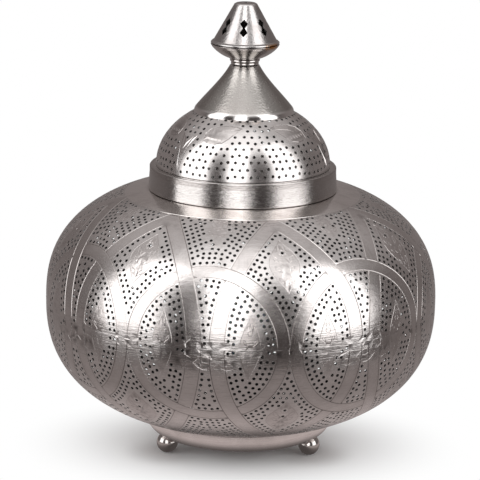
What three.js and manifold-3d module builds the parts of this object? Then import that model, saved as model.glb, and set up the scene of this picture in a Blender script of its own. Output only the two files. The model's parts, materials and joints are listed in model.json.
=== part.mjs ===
// A pierced metal table lamp: a round body on a footed base dish, with a lift-off domed lid and a finial.
// Millimetres, +Z up, the table at z = 0, the lamp's axis on x = y = 0 and its front towards -Y.

import * as THREE from 'three';
import { mergeVertices } from 'three/addons/utils/BufferGeometryUtils.js';
import Module from 'manifold-3d';

const wasm = await Module();
wasm.setup();

// Sheet metal and fits
const sheetWall = 1;
const fitGap = 0.3;
const shellSides = 48;
const smallSides = 24;
const screwSides = 12;
const nutSides = 6;
const roundSteps = 3;
const beadTurn = 70;
const weldDistance = 1e-4;

// Ball feet
const footRadius = 9.5;
const footFloorCut = 0.5;
const footSeatCut = 2;
const footInset = 4;
const footSideAngle = 68;
const footHoleDepth = 10;
const footTipRoom = 0.7;
const footRings = 7;

// Base dish
const dishFloorRadius = 72;
const dishRimRadius = 84;
const dishWallHeight = 16.2;
const dishWallSteps = 5;

// Body, a rounded shoulder over a rounded belly, brazed together at the widest line
const bodyRadius = 172.4;
const shoulderHeight = 107.8;
const shoulderPower = 2.48;
const bellyDepth = 112.2;
const bellyPower = 2.44;
const bodyMouthInset = 10;
const neckDip = 8;
const neckDipWidth = 10.6;
const bodyOuterSteps = 8;
const bodyInnerSteps = 5;

// Piercing of the body, a coarse grid of four-sided openings in rings of its facets
const pierceCount = 16;
const pierceSides = 4;
const pierceHalfSize = 8;
const pierceBar = 14;
const pierceShoulderRings = [1, 2, 3, 4, 5];
const pierceBellyRings = [1];

// Neck collar
const collarRadius = 81.5;
const collarSink = 4;
const collarShow = 6;

// Lid
const bandHeight = 20.8;
const bandEdgeRound = 1.6;
const bandFlangeInset = 4;
const domeStep = 6.4;
const domeHeight = 55.2;
const domeOuterSteps = 6;
const domeInnerSteps = 4;
const coneLipRadius = 43.6;
const coneLipRound = 1.6;
const coneLipTurn = 40;
const coneTopRadius = 13.5;
const coneHeight = 41.7;
const coneTopWall = 1.5;

// Finial
const ferruleRadius = 13.8;
const ferruleBead = 1.35;
const ferruleBeads = 2;
const bowlFootRadius = 14.2;
const bowlRimRadius = 29.9;
const bowlHeight = 12.3;
const bowlSteps = 4;
const capBead = 1.4;
const capTopRadius = 9.6;
const capTopRound = 2.2;
const capTopTurn = 30;
const capHeight = 35.3;
const capCutCount = 7;
const capCutTurn = -4;
const capCutSides = 4;
const capCutRise = 13.5;
const capCutHalfHeight = 7.2;
const capCutHalfWidth = 3.1;
const capCutWaist = 1;

// Fixing rod of the finial
const rodRadius = 3;
const rodProud = 2;
const rodNutWidth = 10;
const rodNutHeight = 5;
const rodWasherRadius = 8;
const rodWasherHeight = 1.2;

// Small machine screws
const screwRadius = 2;
const screwHeadRadius = 3.8;
const screwHeadHeight = 2.4;
const screwSlotWidth = 1;
const screwSlotDepth = 1;
const screwNutWidth = 7;
const screwNutHeight = 3.2;
const screwProud = 1;

// Bridge that carries the lampholder
const bridgeHalfLength = 44;
const bridgeHalfSpan = 30;
const bridgeWidth = 18;
const bridgeHeight = 14;
const bridgeStrip = 2;

// Threaded tube through the bridge
const nippleRadius = 5;
const nippleBore = 3.6;
const nippleProud = 2;
const nippleRoom = 5;
const nippleNutWidth = 14;
const nippleNutHeight = 4;

// Lampholder for a 27 mm screw cap
const holderRadius = 20;
const holderWall = 2;
const holderFloor = 3;
const holderCapHeight = 20;
const holderSkirtHeight = 34;
const insertLedge = 2;
const insertRecess = 6;
const insertHeight = 8;
const sleeveBore = 13.5;
const sleeveWall = 0.6;
const sleeveHeight = 24;
const tongueRadius = 4;
const tongueHeight = 0.8;
const terminalReach = 12;
const terminalRadius = 2.2;
const terminalLength = 7;

// Bulb with a 27 mm screw cap and an opal globe
const bulbContactRadius = 4.5;
const bulbContactHeight = 1.5;
const bulbInsulatorRadius = 10;
const bulbInsulatorHeight = 3.9;
const bulbThreadGap = 0.4;
const bulbCapWall = 0.5;
const bulbCapTaper = 3.7;
const bulbCapHeight = 21.7;
const bulbGlassWall = 0.9;
const bulbGlassSink = 14;
const bulbNeckHeight = 18;
const bulbGlobeRadius = 30;
const bulbGlobeRise = 61.3;
const bulbShoulderAngle = -35;
const bulbNeckPull = 10;
const bulbShoulderPull = 9;
const bulbShoulderSteps = 3;
const bulbGlobeSteps = 6;

// Rubber grommet for the supply cord
const grommetReach = 45;
const grommetBore = 3.5;
const grommetNeck = 6;
const grommetFlange = 8;
const grommetFlangeHeight = 1.8;

// Heights and radii that follow from the sizes above
const footTopZ = 2 * footRadius - footFloorCut - footSeatCut;
const footCentreZ = footRadius - footFloorCut;
const footCircle = dishFloorRadius - footInset;
const dishFloorZ = footTopZ + fitGap;
const dishInsideZ = dishFloorZ + sheetWall;
const dishRimZ = dishFloorZ + dishWallHeight;
const seamHalfGap = fitGap / 2;
const bellySeatDrop = superRise(dishRimRadius - sheetWall, bodyRadius, bellyDepth, bellyPower);
const equatorZ = dishRimZ + fitGap + bellySeatDrop + seamHalfGap;
const bodyMouthRadius = dishRimRadius - bodyMouthInset;
const neckRadius = collarRadius + fitGap;
const neckZ = equatorZ + seamHalfGap + shoulderRise(neckRadius, 0);
const bandRadius = collarRadius + fitGap + sheetWall;
const bandBottomZ = neckZ + collarShow;
const bandTopZ = bandBottomZ + bandHeight;
const collarTopZ = bandTopZ - sheetWall - fitGap;
const domeRadius = bandRadius - domeStep;
const domeZ = bandTopZ + fitGap;
const rodHole = rodRadius + fitGap;
const coneFootRadius = coneLipRadius - coneLipRound - sheetWall;
const coneZ = domeZ + domeRise(coneFootRadius, 0) + fitGap;
const coneTopZ = coneZ + coneHeight;
const ferruleZ = coneTopZ + fitGap;
const bowlZ = ferruleZ + 2 * ferruleBead * ferruleBeads + fitGap;
const capZ = bowlZ + bowlHeight + fitGap;
const rodSeatRadius = rodWasherRadius + fitGap;
const rodSeatZ = domeZ + domeRise(rodSeatRadius, sheetWall);
const rodWasherTopZ = rodSeatZ - fitGap;
const rodLowerNutZ = rodWasherTopZ - rodWasherHeight - fitGap - rodNutHeight;
const rodUpperNutZ = bowlZ + sheetWall + fitGap;
const screwHole = screwRadius + fitGap;
const bridgeZ = dishInsideZ + fitGap;
const bridgeTopZ = bridgeZ + bridgeHeight;
const bridgeScrewReach = (bridgeHalfSpan + bridgeStrip + bridgeHalfLength) / 2;
const bridgeNutZ = bridgeZ + bridgeStrip + fitGap;
const nippleHole = nippleRadius + fitGap;
const nippleNutZ = bridgeTopZ - bridgeStrip - fitGap - nippleNutHeight;
const holderZ = bridgeTopZ + fitGap;
const holderCapTopZ = holderZ + holderCapHeight;
const insertZ = holderCapTopZ - insertRecess + fitGap;
const insertTopZ = insertZ + insertHeight;
const sleeveZ = insertTopZ + fitGap;
const bulbZ = sleeveZ + tongueHeight + fitGap;
const bulbInsulatorZ = bulbZ + bulbContactHeight + fitGap;
const bulbCapZ = bulbInsulatorZ + bulbInsulatorHeight + fitGap;
const bulbCapRadius = sleeveBore - bulbThreadGap;
const bulbCapTopZ = bulbCapZ + bulbCapHeight;
const bulbGlassZ = bulbCapTopZ - bulbGlassSink;
const bulbNeckRadius = bulbCapRadius - bulbCapWall - fitGap;

// Height of a superellipse quarter above its base at a radius
function superRise(radius, halfWidth, height, power) {
  return height * (1 - (radius / halfWidth) ** power) ** (1 / power);
}

// Height of the shoulder above the seam, with the shallow dip where the sheet meets the collar
function shoulderRise(radius, inset) {
  const dip = neckDip * Math.exp(-(((radius - neckRadius) / neckDipWidth) ** 2));
  return superRise(radius, bodyRadius - inset, shoulderHeight - inset, shoulderPower) - dip;
}

// Height of the dome above its foot
function domeRise(radius, inset) {
  return superRise(radius, domeRadius - inset, domeHeight - inset, 2);
}

// Points on an elliptical arc, degrees counted from the outward direction
function arc(centre, halfSizes, from, to, steps) {
  return Array.from({ length: steps + 1 }, (_, step) => {
    const angle = THREE.MathUtils.degToRad(from + ((to - from) * step) / steps);
    return [centre[0] + halfSizes[0] * Math.cos(angle), centre[1] + halfSizes[1] * Math.sin(angle)];
  });
}

// Radii spread evenly round a superellipse quarter, from its widest point in to an end radius
function quarterRadii(halfWidth, power, endRadius, steps) {
  const endAngle = Math.acos((endRadius / halfWidth) ** (power / 2));
  return Array.from({ length: steps + 1 }, (_, step) => {
    return halfWidth * Math.cos((endAngle * step) / steps) ** (2 / power);
  });
}

// A solid of revolution about Z from a profile of [radius, height], counter-clockwise
function turned(profile, sides) {
  const points = profile.map(([radius, height]) => new THREE.Vector2(radius, height));
  const onAxis = profile[0][0] === 0 && profile.at(-1)[0] === 0;
  if (!onAxis) points.push(points[0].clone());
  return new THREE.LatheGeometry(points, sides).rotateX(Math.PI / 2);
}

// A tube or plain disc between two heights
function tube(bore, radius, low, high, sides) {
  return turned([[bore, low], [radius, low], [radius, high], [bore, high]], sides);
}

// A round bar about Z between two heights
function drill(radius, low, high) {
  return turned([[0, low], [radius, low], [radius, high], [0, high]], screwSides);
}

// A six-sided nut standing on z = 0
function hexNut(acrossFlats, height, bore) {
  const corner = acrossFlats / Math.sqrt(3);
  const shape = new THREE.Shape();
  const corners = Array.from({ length: nutSides }, (_, side) => {
    const angle = (2 * Math.PI * side) / nutSides;
    return new THREE.Vector2(corner * Math.cos(angle), corner * Math.sin(angle));
  });
  shape.setFromPoints(corners);
  shape.closePath();
  shape.holes.push(new THREE.Path().absarc(0, 0, bore, 0, 2 * Math.PI, true));
  const settings = { depth: height, bevelEnabled: false, curveSegments: screwSides / 2 };
  return new THREE.ExtrudeGeometry(shape, settings);
}

// A slotted pan-head screw, its shank pointing down from z = 0 under the head
function panScrew(length) {
  const headRound = screwHeadHeight / 2;
  const blank = turned([
    [0, -length],
    [screwRadius, -length],
    [screwRadius, 0],
    [screwHeadRadius, 0],
    ...arc([screwHeadRadius - headRound, headRound], [headRound, headRound], 0, 90, roundSteps),
    [0, screwHeadHeight],
  ], screwSides);
  const slotLength = 2 * screwHeadRadius + fitGap;
  const slot = new THREE.BoxGeometry(slotLength, screwSlotWidth, 2 * screwSlotDepth);
  slot.translate(0, 0, screwHeadHeight);
  return cut(blank, [slot]);
}

// The closed solid of a geometry, its shared corners welded
function solidOf(geometry) {
  const bare = geometry.clone();
  bare.deleteAttribute('normal');
  bare.deleteAttribute('uv');
  const welded = mergeVertices(bare, weldDistance);
  const corners = welded.index.array;
  const kept = [];
  for (let at = 0; at < corners.length; at += 3) {
    const [a, b, c] = corners.slice(at, at + 3);
    if (a !== b && b !== c && c !== a) kept.push(a, b, c);
  }
  const vertProperties = new Float32Array(welded.attributes.position.array);
  return new wasm.Manifold(new wasm.Mesh({ numProp: 3, vertProperties, triVerts: Uint32Array.from(kept) }));
}

// A geometry with others cut out of it
function cut(geometry, tools) {
  const solid = tools.reduce((left, tool) => left.subtract(solidOf(tool)), solidOf(geometry));
  const mesh = solid.getMesh();
  const result = new THREE.BufferGeometry();
  result.setAttribute('position', new THREE.BufferAttribute(new Float32Array(mesh.vertProperties), 3));
  result.setIndex(new THREE.BufferAttribute(new Uint32Array(mesh.triVerts), 1));
  return result;
}

// The places of the three feet, from the front left round to the back
function footPlaces() {
  const places = { left: -footSideAngle, right: footSideAngle, back: 180 };
  return Object.entries(places).map(([side, degrees]) => {
    const angle = THREE.MathUtils.degToRad(degrees);
    return { side, x: footCircle * Math.sin(angle), y: -footCircle * Math.cos(angle) };
  });
}

function footBall() {
  const floorAngle = THREE.MathUtils.radToDeg(Math.asin(-footCentreZ / footRadius));
  const seatAngle = THREE.MathUtils.radToDeg(Math.asin((footTopZ - footCentreZ) / footRadius));
  return turned([
    [0, 0],
    ...arc([0, footCentreZ], [footRadius, footRadius], floorAngle, seatAngle, footRings),
    [screwHole, footTopZ],
    [screwHole, footTopZ - footHoleDepth],
    [0, footTopZ - footHoleDepth],
  ], smallSides);
}

// The holes for the two screws that hold the bridge to the dish
function bridgeScrewHoles(low, high) {
  return [-bridgeScrewReach, bridgeScrewReach].map((x) => drill(screwHole, low, high).translate(x, 0, 0));
}

function baseDish() {
  const outer = [dishRimRadius - dishFloorRadius, dishWallHeight];
  const inner = [outer[0] - sheetWall, outer[1] - sheetWall];
  const blank = turned([
    [0, dishFloorZ],
    ...arc([dishFloorRadius, dishRimZ], outer, -90, 0, dishWallSteps),
    ...arc([dishFloorRadius, dishRimZ], inner, 0, -90, dishWallSteps),
    [0, dishInsideZ],
  ], shellSides);
  const low = dishFloorZ - sheetWall;
  const high = dishInsideZ + sheetWall;
  const footHoles = footPlaces().map(({ x, y }) => drill(screwHole, low, high).translate(x, y, 0));
  const bridgeHoles = bridgeScrewHoles(low, high);
  const cordHole = drill(grommetNeck + fitGap, low, high).translate(0, grommetReach, 0);
  return cut(blank, [...footHoles, ...bridgeHoles, cordHole]);
}

// The openings of one ring of facets, each cut by a bar that stands square to the sheet
function pierceRing(outline, ring, stagger) {
  const [start, end] = [outline[ring], outline[ring + 1]];
  const lean = Math.atan2(start[0] - end[0], end[1] - start[1]);
  const flat = Math.cos(Math.PI / shellSides);
  const middle = [(flat * (start[0] + end[0])) / 2, (start[1] + end[1]) / 2];
  return Array.from({ length: pierceCount }, (_, index) => {
    const pitch = (2 * Math.PI) / pierceCount;
    const bar = new THREE.CylinderGeometry(pierceHalfSize, pierceHalfSize, pierceBar, pierceSides);
    const turn = pitch * (index + stagger) + Math.PI / shellSides;
    return bar.rotateX(-lean).translate(0, -middle[0], middle[1]).rotateZ(turn);
  });
}

// Every opening of a body half, its rings staggered by half a pitch
function pierceRings(outline, rings) {
  return rings.flatMap((ring, row) => pierceRing(outline, ring, (row % 2) / 2));
}

function bodyLower() {
  const seamZ = equatorZ - seamHalfGap;
  const wall = (inset, steps) => {
    const halfWidth = bodyRadius - inset;
    return quarterRadii(halfWidth, bellyPower, bodyMouthRadius, steps).map((radius) => {
      return [radius, seamZ - superRise(radius, halfWidth, bellyDepth - inset, bellyPower)];
    });
  };
  const outer = wall(0, bodyOuterSteps);
  const blank = turned([...outer.toReversed(), ...wall(sheetWall, bodyInnerSteps)], shellSides);
  return cut(blank, pierceRings(outer, pierceBellyRings));
}

function bodyUpper() {
  const seamZ = equatorZ + seamHalfGap;
  const wall = (inset, steps) => {
    const radii = quarterRadii(bodyRadius - inset, shoulderPower, neckRadius, steps);
    return radii.map((radius) => [radius, seamZ + shoulderRise(radius, inset)]);
  };
  const outer = wall(0, bodyOuterSteps);
  const blank = turned([...outer, ...wall(sheetWall, bodyInnerSteps).reverse()], shellSides);
  return cut(blank, pierceRings(outer, pierceShoulderRings));
}

function neckCollar() {
  return tube(collarRadius - sheetWall, collarRadius, neckZ - collarSink, collarTopZ, shellSides);
}

function lidBand() {
  const bore = bandRadius - sheetWall;
  const flangeRadius = domeRadius - bandFlangeInset;
  const edge = [bandRadius - bandEdgeRound, bandTopZ - bandEdgeRound];
  return turned([
    [bore, bandBottomZ],
    [bandRadius, bandBottomZ],
    ...arc(edge, [bandEdgeRound, bandEdgeRound], 0, 90, roundSteps),
    [flangeRadius, bandTopZ],
    [flangeRadius, bandTopZ - sheetWall],
    [bore, bandTopZ - sheetWall],
  ], shellSides);
}

function lidDome() {
  const wall = (inset, endRadius, steps) => {
    const radii = quarterRadii(domeRadius - inset, 2, endRadius, steps);
    return radii.map((radius) => [radius, domeZ + domeRise(radius, inset)]);
  };
  return turned([
    ...wall(0, rodHole, domeOuterSteps),
    [rodHole, rodSeatZ],
    ...wall(sheetWall, rodSeatRadius, domeInnerSteps).reverse(),
  ], shellSides);
}

function lidCone() {
  const lip = [coneLipRadius - coneLipRound, coneZ + coneLipRound];
  return turned([
    [coneFootRadius, coneZ],
    ...arc(lip, [coneLipRound, coneLipRound], -90, coneLipTurn, roundSteps),
    [coneTopRadius, coneTopZ],
    [rodHole, coneTopZ],
    [rodHole, coneTopZ - coneTopWall],
    [coneTopRadius - sheetWall, coneTopZ - coneTopWall],
  ], smallSides);
}

function finialFerrule() {
  const inner = ferruleRadius - ferruleBead;
  const beads = Array.from({ length: ferruleBeads }, (_, bead) => {
    const centre = [inner, ferruleZ + ferruleBead * (2 * bead + 1)];
    return arc(centre, [ferruleBead, ferruleBead], -90, beadTurn, roundSteps);
  }).flat();
  const topZ = ferruleZ + 2 * ferruleBead * ferruleBeads;
  return turned([[rodHole, ferruleZ], ...beads, [inner, topZ], [rodHole, topZ]], smallSides);
}

function finialBowl() {
  const rimZ = bowlZ + bowlHeight;
  const outer = [bowlRimRadius - bowlFootRadius, bowlHeight];
  const inner = [outer[0] - sheetWall, outer[1] - sheetWall];
  return turned([
    [rodHole, bowlZ],
    ...arc([bowlFootRadius, rimZ], outer, -90, 0, bowlSteps),
    ...arc([bowlFootRadius, rimZ], inner, 0, -90, bowlSteps),
    [rodHole, bowlZ + sheetWall],
  ], smallSides);
}

function finialCap() {
  const topZ = capZ + capHeight;
  const sideRadius = bowlRimRadius - capBead;
  const top = [capTopRadius - capTopRound, topZ - capTopRound];
  const blank = turned([
    [sideRadius - sheetWall, capZ],
    ...arc([sideRadius, capZ + capBead], [capBead, capBead], -90, beadTurn, roundSteps),
    ...arc(top, [capTopRound, capTopRound], capTopTurn, 90, roundSteps),
    [0, topZ],
    [0, topZ - sheetWall],
    [top[0], topZ - sheetWall],
    [capTopRadius - sheetWall, top[1]],
    [sideRadius - sheetWall, capZ + 2 * capBead],
  ], capCutCount * capCutSides);
  return cut(blank, Array.from({ length: capCutCount }, (_, index) => capCut(index)));
}

// One double-diamond opening of the finial cap, as a bar from the axis outwards
function capCut(index) {
  const shape = new THREE.Shape();
  shape.moveTo(0, capCutHalfHeight);
  shape.lineTo(-capCutHalfWidth, capCutHalfHeight / 2);
  shape.lineTo(-capCutWaist, 0);
  shape.lineTo(-capCutHalfWidth, -capCutHalfHeight / 2);
  shape.lineTo(0, -capCutHalfHeight);
  shape.lineTo(capCutHalfWidth, -capCutHalfHeight / 2);
  shape.lineTo(capCutWaist, 0);
  shape.lineTo(capCutHalfWidth, capCutHalfHeight / 2);
  shape.closePath();
  const bar = new THREE.ExtrudeGeometry(shape, { depth: bowlRimRadius, bevelEnabled: false });
  const turn = THREE.MathUtils.degToRad(capCutTurn + (index * 360) / capCutCount);
  return bar.rotateX(Math.PI / 2).rotateZ(turn).translate(0, 0, capZ + capCutRise);
}

function finialRod() {
  const high = rodUpperNutZ + rodNutHeight + rodProud;
  return drill(rodRadius, rodLowerNutZ - rodProud, high);
}

function holderBridge() {
  const shape = new THREE.Shape();
  const leg = bridgeHalfSpan + bridgeStrip;
  shape.moveTo(bridgeHalfSpan, 0);
  shape.lineTo(bridgeHalfLength, 0);
  shape.lineTo(bridgeHalfLength, bridgeStrip);
  shape.lineTo(leg, bridgeStrip);
  shape.lineTo(leg, bridgeHeight);
  shape.lineTo(-leg, bridgeHeight);
  shape.lineTo(-leg, bridgeStrip);
  shape.lineTo(-bridgeHalfLength, bridgeStrip);
  shape.lineTo(-bridgeHalfLength, 0);
  shape.lineTo(-bridgeHalfSpan, 0);
  shape.lineTo(-bridgeHalfSpan, bridgeHeight - bridgeStrip);
  shape.lineTo(bridgeHalfSpan, bridgeHeight - bridgeStrip);
  shape.closePath();
  const strip = new THREE.ExtrudeGeometry(shape, { depth: bridgeWidth, bevelEnabled: false });
  strip.rotateX(Math.PI / 2).translate(0, bridgeWidth / 2, bridgeZ);
  const low = bridgeZ - bridgeStrip;
  const high = bridgeTopZ + bridgeStrip;
  return cut(strip, [drill(nippleHole, low, high), ...bridgeScrewHoles(low, high)]);
}

function holderCap() {
  const ledge = holderRadius - holderWall - insertLedge;
  return turned([
    [nippleHole, holderZ],
    [holderRadius, holderZ],
    [holderRadius, holderCapTopZ],
    [holderRadius - holderWall, holderCapTopZ],
    [holderRadius - holderWall, holderCapTopZ - insertRecess],
    [ledge, holderCapTopZ - insertRecess],
    [ledge, holderZ + holderFloor],
    [nippleHole, holderZ + holderFloor],
  ], smallSides);
}

function holderInsert() {
  const radius = holderRadius - holderWall - fitGap;
  const disc = turned([[0, insertZ], [radius, insertZ], [radius, insertTopZ], [0, insertTopZ]], smallSides);
  const low = insertZ - holderWall;
  const high = insertTopZ + holderWall;
  const hole = terminalRadius + fitGap;
  const holes = [-terminalReach, terminalReach].map((y) => drill(hole, low, high).translate(0, y, 0));
  return cut(disc, holes);
}

function bulbInsulator() {
  const topZ = bulbInsulatorZ + bulbInsulatorHeight;
  return turned([
    [0, bulbInsulatorZ],
    [bulbContactRadius, bulbInsulatorZ],
    [bulbInsulatorRadius, topZ],
    [0, topZ],
  ], smallSides);
}

function bulbCap() {
  const inner = bulbCapRadius - bulbCapWall;
  const mouth = bulbInsulatorRadius - bulbCapTaper;
  return turned([
    [mouth, bulbCapZ],
    [bulbInsulatorRadius, bulbCapZ],
    [bulbCapRadius, bulbCapZ + bulbCapTaper],
    [bulbCapRadius, bulbCapTopZ],
    [inner, bulbCapTopZ],
    [inner, bulbCapZ + bulbCapTaper],
    [bulbInsulatorRadius - bulbCapWall, bulbCapZ + bulbCapWall],
    [mouth, bulbCapZ + bulbCapWall],
  ], smallSides);
}

// The glass from its open neck to the crown, set in by an inset
function bulbOutline(inset) {
  const centre = [0, bulbCapZ + bulbGlobeRise + fitGap];
  const radius = bulbGlobeRadius - inset;
  const globe = arc(centre, [radius, radius], bulbShoulderAngle, 90, bulbGlobeSteps);
  const tangent = THREE.MathUtils.degToRad(bulbShoulderAngle);
  const inward = new THREE.Vector2(Math.sin(tangent), -Math.cos(tangent));
  const neck = new THREE.Vector2(bulbNeckRadius - inset, bulbGlassZ + bulbNeckHeight);
  const shoulder = new THREE.Vector2(...globe[0]);
  const bend = new THREE.CubicBezierCurve(
    neck,
    neck.clone().add(new THREE.Vector2(0, bulbNeckPull)),
    shoulder.clone().addScaledVector(inward, bulbShoulderPull),
    shoulder,
  );
  const crown = [0, globe.at(-1)[1]];
  const bendPoints = bend.getPoints(bulbShoulderSteps).map((point) => [point.x, point.y]);
  return [[neck.x, bulbGlassZ], ...bendPoints, ...globe.slice(1, -1), crown];
}

function bulbGlass() {
  return turned([...bulbOutline(bulbGlassWall).reverse(), ...bulbOutline(0)], smallSides);
}

function cordGrommet() {
  const low = dishFloorZ - fitGap;
  const high = dishInsideZ + fitGap;
  return turned([
    [grommetBore, low - grommetFlangeHeight],
    [grommetFlange, low - grommetFlangeHeight],
    [grommetFlange, low],
    [grommetNeck, low],
    [grommetNeck, high],
    [grommetFlange, high],
    [grommetFlange, high + grommetFlangeHeight],
    [grommetBore, high + grommetFlangeHeight],
  ], screwSides).translate(0, grommetReach, 0);
}

// Finishes
const satinNickel = { color: 0xa8a29c, roughness: 0.34, metalness: 1 };
const brushedNickel = { color: 0xb4b0ab, roughness: 0.3, metalness: 1 };
const polishedNickel = { color: 0xc2beb9, roughness: 0.18, metalness: 1 };
const brass = { color: 0xc9a45c, roughness: 0.3, metalness: 1 };
const steel = { color: 0x9ea2a5, roughness: 0.4, metalness: 1 };
const blackPlastic = { color: 0x1c1b1a, roughness: 0.45, metalness: 0 };
const porcelain = { color: 0xe6e2d8, roughness: 0.3, metalness: 0 };
const opalGlass = { color: 0xf3f1ea, roughness: 0.25, metalness: 0 };
const rubber = { color: 0x24221f, roughness: 0.8, metalness: 0 };

const lamp = new THREE.Group();

function addPiece(name, geometry, finish) {
  const piece = new THREE.Mesh(geometry, new THREE.MeshStandardMaterial(finish));
  piece.name = name;
  lamp.add(piece);
  return piece;
}

// Base
addPiece('base_dish', baseDish(), polishedNickel);
const footScrewLength = footHoleDepth + 2 * fitGap + sheetWall - footTipRoom;
for (const { side, x, y } of footPlaces()) {
  addPiece(`foot_${side}`, footBall(), polishedNickel).position.set(x, y, 0);
  addPiece(`foot_screw_${side}`, panScrew(footScrewLength), steel).position.set(x, y, dishInsideZ + fitGap);
}
addPiece('cord_grommet', cordGrommet(), rubber);

// Body and neck
addPiece('body_lower', bodyLower(), satinNickel);
addPiece('body_upper', bodyUpper(), satinNickel);
addPiece('neck_collar', neckCollar(), brushedNickel);

// Lid and finial
addPiece('lid_band', lidBand(), brushedNickel);
addPiece('lid_dome', lidDome(), satinNickel);
addPiece('lid_cone', lidCone(), polishedNickel);
addPiece('finial_ferrule', finialFerrule(), polishedNickel);
addPiece('finial_bowl', finialBowl(), polishedNickel);
addPiece('finial_cap', finialCap(), polishedNickel);
addPiece('finial_rod', finialRod(), steel);
const rodWasher = tube(rodHole, rodWasherRadius, rodWasherTopZ - rodWasherHeight, rodWasherTopZ, screwSides);
addPiece('finial_washer', rodWasher, steel);
addPiece('finial_nut_lower', hexNut(rodNutWidth, rodNutHeight, rodHole), steel).position.z = rodLowerNutZ;
addPiece('finial_nut_upper', hexNut(rodNutWidth, rodNutHeight, rodHole), steel).position.z = rodUpperNutZ;

// Lampholder and what carries it
addPiece('holder_bridge', holderBridge(), steel);
const bridgeScrewLength = bridgeNutZ + screwNutHeight + screwProud - dishFloorZ + fitGap;
for (const [side, sign] of [['left', -1], ['right', 1]]) {
  const x = sign * bridgeScrewReach;
  const screw = addPiece(`bridge_screw_${side}`, panScrew(bridgeScrewLength), steel);
  screw.position.set(x, 0, dishFloorZ - fitGap);
  screw.rotation.x = Math.PI;
  const nut = addPiece(`bridge_nut_${side}`, hexNut(screwNutWidth, screwNutHeight, screwHole), steel);
  nut.position.set(x, 0, bridgeNutZ);
}
const nippleTopZ = insertZ - nippleRoom;
const nipple = tube(nippleBore, nippleRadius, nippleNutZ - nippleProud, nippleTopZ, screwSides);
addPiece('holder_nipple', nipple, brass);
addPiece('nipple_nut', hexNut(nippleNutWidth, nippleNutHeight, nippleHole), brass).position.z = nippleNutZ;
addPiece('holder_cap', holderCap(), blackPlastic);
const skirtZ = holderCapTopZ + fitGap;
const skirtTopZ = skirtZ + holderSkirtHeight;
const holderSkirt = tube(holderRadius - holderWall, holderRadius, skirtZ, skirtTopZ, smallSides);
addPiece('holder_skirt', holderSkirt, blackPlastic);
addPiece('holder_insert', holderInsert(), porcelain);
const threadSleeve = tube(sleeveBore, sleeveBore + sleeveWall, sleeveZ, sleeveZ + sleeveHeight, smallSides);
addPiece('thread_sleeve', threadSleeve, brass);
addPiece('contact_tongue', drill(tongueRadius, sleeveZ, sleeveZ + tongueHeight), brass);
for (const [side, sign] of [['front', -1], ['back', 1]]) {
  const terminal = drill(terminalRadius, insertTopZ - terminalLength, insertTopZ);
  addPiece(`terminal_${side}`, terminal, brass).position.y = sign * terminalReach;
}

// Bulb
addPiece('bulb_contact', drill(bulbContactRadius, bulbZ, bulbZ + bulbContactHeight), brass);
addPiece('bulb_insulator', bulbInsulator(), blackPlastic);
addPiece('bulb_cap', bulbCap(), brushedNickel);
addPiece('bulb_glass', bulbGlass(), opalGlass);

export default lamp;
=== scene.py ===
"""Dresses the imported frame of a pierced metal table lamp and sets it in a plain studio."""

import json
import logging
import math
import random
from dataclasses import dataclass, field, replace
from enum import Enum
from itertools import product
from typing import Iterator, Optional, Sequence, Union

import bpy
import numpy as np
from mathutils import Matrix, Vector, kdtree
from mathutils.geometry import delaunay_2d_cdt

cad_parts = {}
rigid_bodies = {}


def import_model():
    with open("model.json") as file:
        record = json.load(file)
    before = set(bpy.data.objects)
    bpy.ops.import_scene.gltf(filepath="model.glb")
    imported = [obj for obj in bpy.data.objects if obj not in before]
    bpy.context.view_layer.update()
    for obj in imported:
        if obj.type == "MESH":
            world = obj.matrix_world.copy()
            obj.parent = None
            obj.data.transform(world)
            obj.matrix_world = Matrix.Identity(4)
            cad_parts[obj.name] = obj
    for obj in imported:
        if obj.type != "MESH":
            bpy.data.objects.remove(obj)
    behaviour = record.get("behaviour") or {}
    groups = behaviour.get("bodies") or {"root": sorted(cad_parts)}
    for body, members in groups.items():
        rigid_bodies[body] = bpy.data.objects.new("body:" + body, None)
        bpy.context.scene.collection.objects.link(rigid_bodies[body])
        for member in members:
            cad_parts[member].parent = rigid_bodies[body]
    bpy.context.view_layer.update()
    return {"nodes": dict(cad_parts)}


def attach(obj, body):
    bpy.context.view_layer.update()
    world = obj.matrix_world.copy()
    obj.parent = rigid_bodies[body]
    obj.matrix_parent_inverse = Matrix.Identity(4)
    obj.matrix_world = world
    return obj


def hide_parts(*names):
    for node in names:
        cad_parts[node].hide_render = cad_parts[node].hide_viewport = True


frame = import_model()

LOG = logging.getLogger("lamp")

# Lengths are written in millimetres and turned into metres where a mesh is made
MM = 0.001
FULL_TURN = 2 * math.pi
MERGE_REACH = 2e-6

Array = np.ndarray
Piece = bpy.types.Object
Tree = bpy.types.NodeTree
Point = tuple[float, float]
Profile = list[Point]
Colour = tuple[float, float, float, float]
Socket = bpy.types.NodeSocket
Value = Union[float, Colour, Socket, "Signal"]


class Body(Enum):
    """The bodies of the frame that the pieces ride on."""

    STAND = "stand"
    LID = "lid"
    BULB = "bulb"


class Grain(Enum):
    """The way a metal surface was worked."""

    HAND = "hand"
    LATHE = "lathe"


def grey(level: float, warm: float = 0.0) -> Colour:
    """A grey, made warmer by lifting red and lowering blue."""
    return (level * (1 + warm), level, level * (1 - warm * 0.5), 1.0)


def arc(centre: Point, radii: Point, start: float, end: float, steps: int) -> Profile:
    """Points along part of an ellipse.

    Args:
        centre: the middle of the ellipse, as radius and height.
        radii: its half sizes.
        start: the first angle, in degrees from the outward axis.
        end: the last angle.
        steps: the number of chords.

    Returns:
        The points, both ends among them.
    """
    turns = [math.radians(start + (end - start) * step / steps) for step in range(steps + 1)]
    return [(centre[0] + radii[0] * math.cos(t), centre[1] + radii[1] * math.sin(t)) for t in turns]


# Shader nodes


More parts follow.
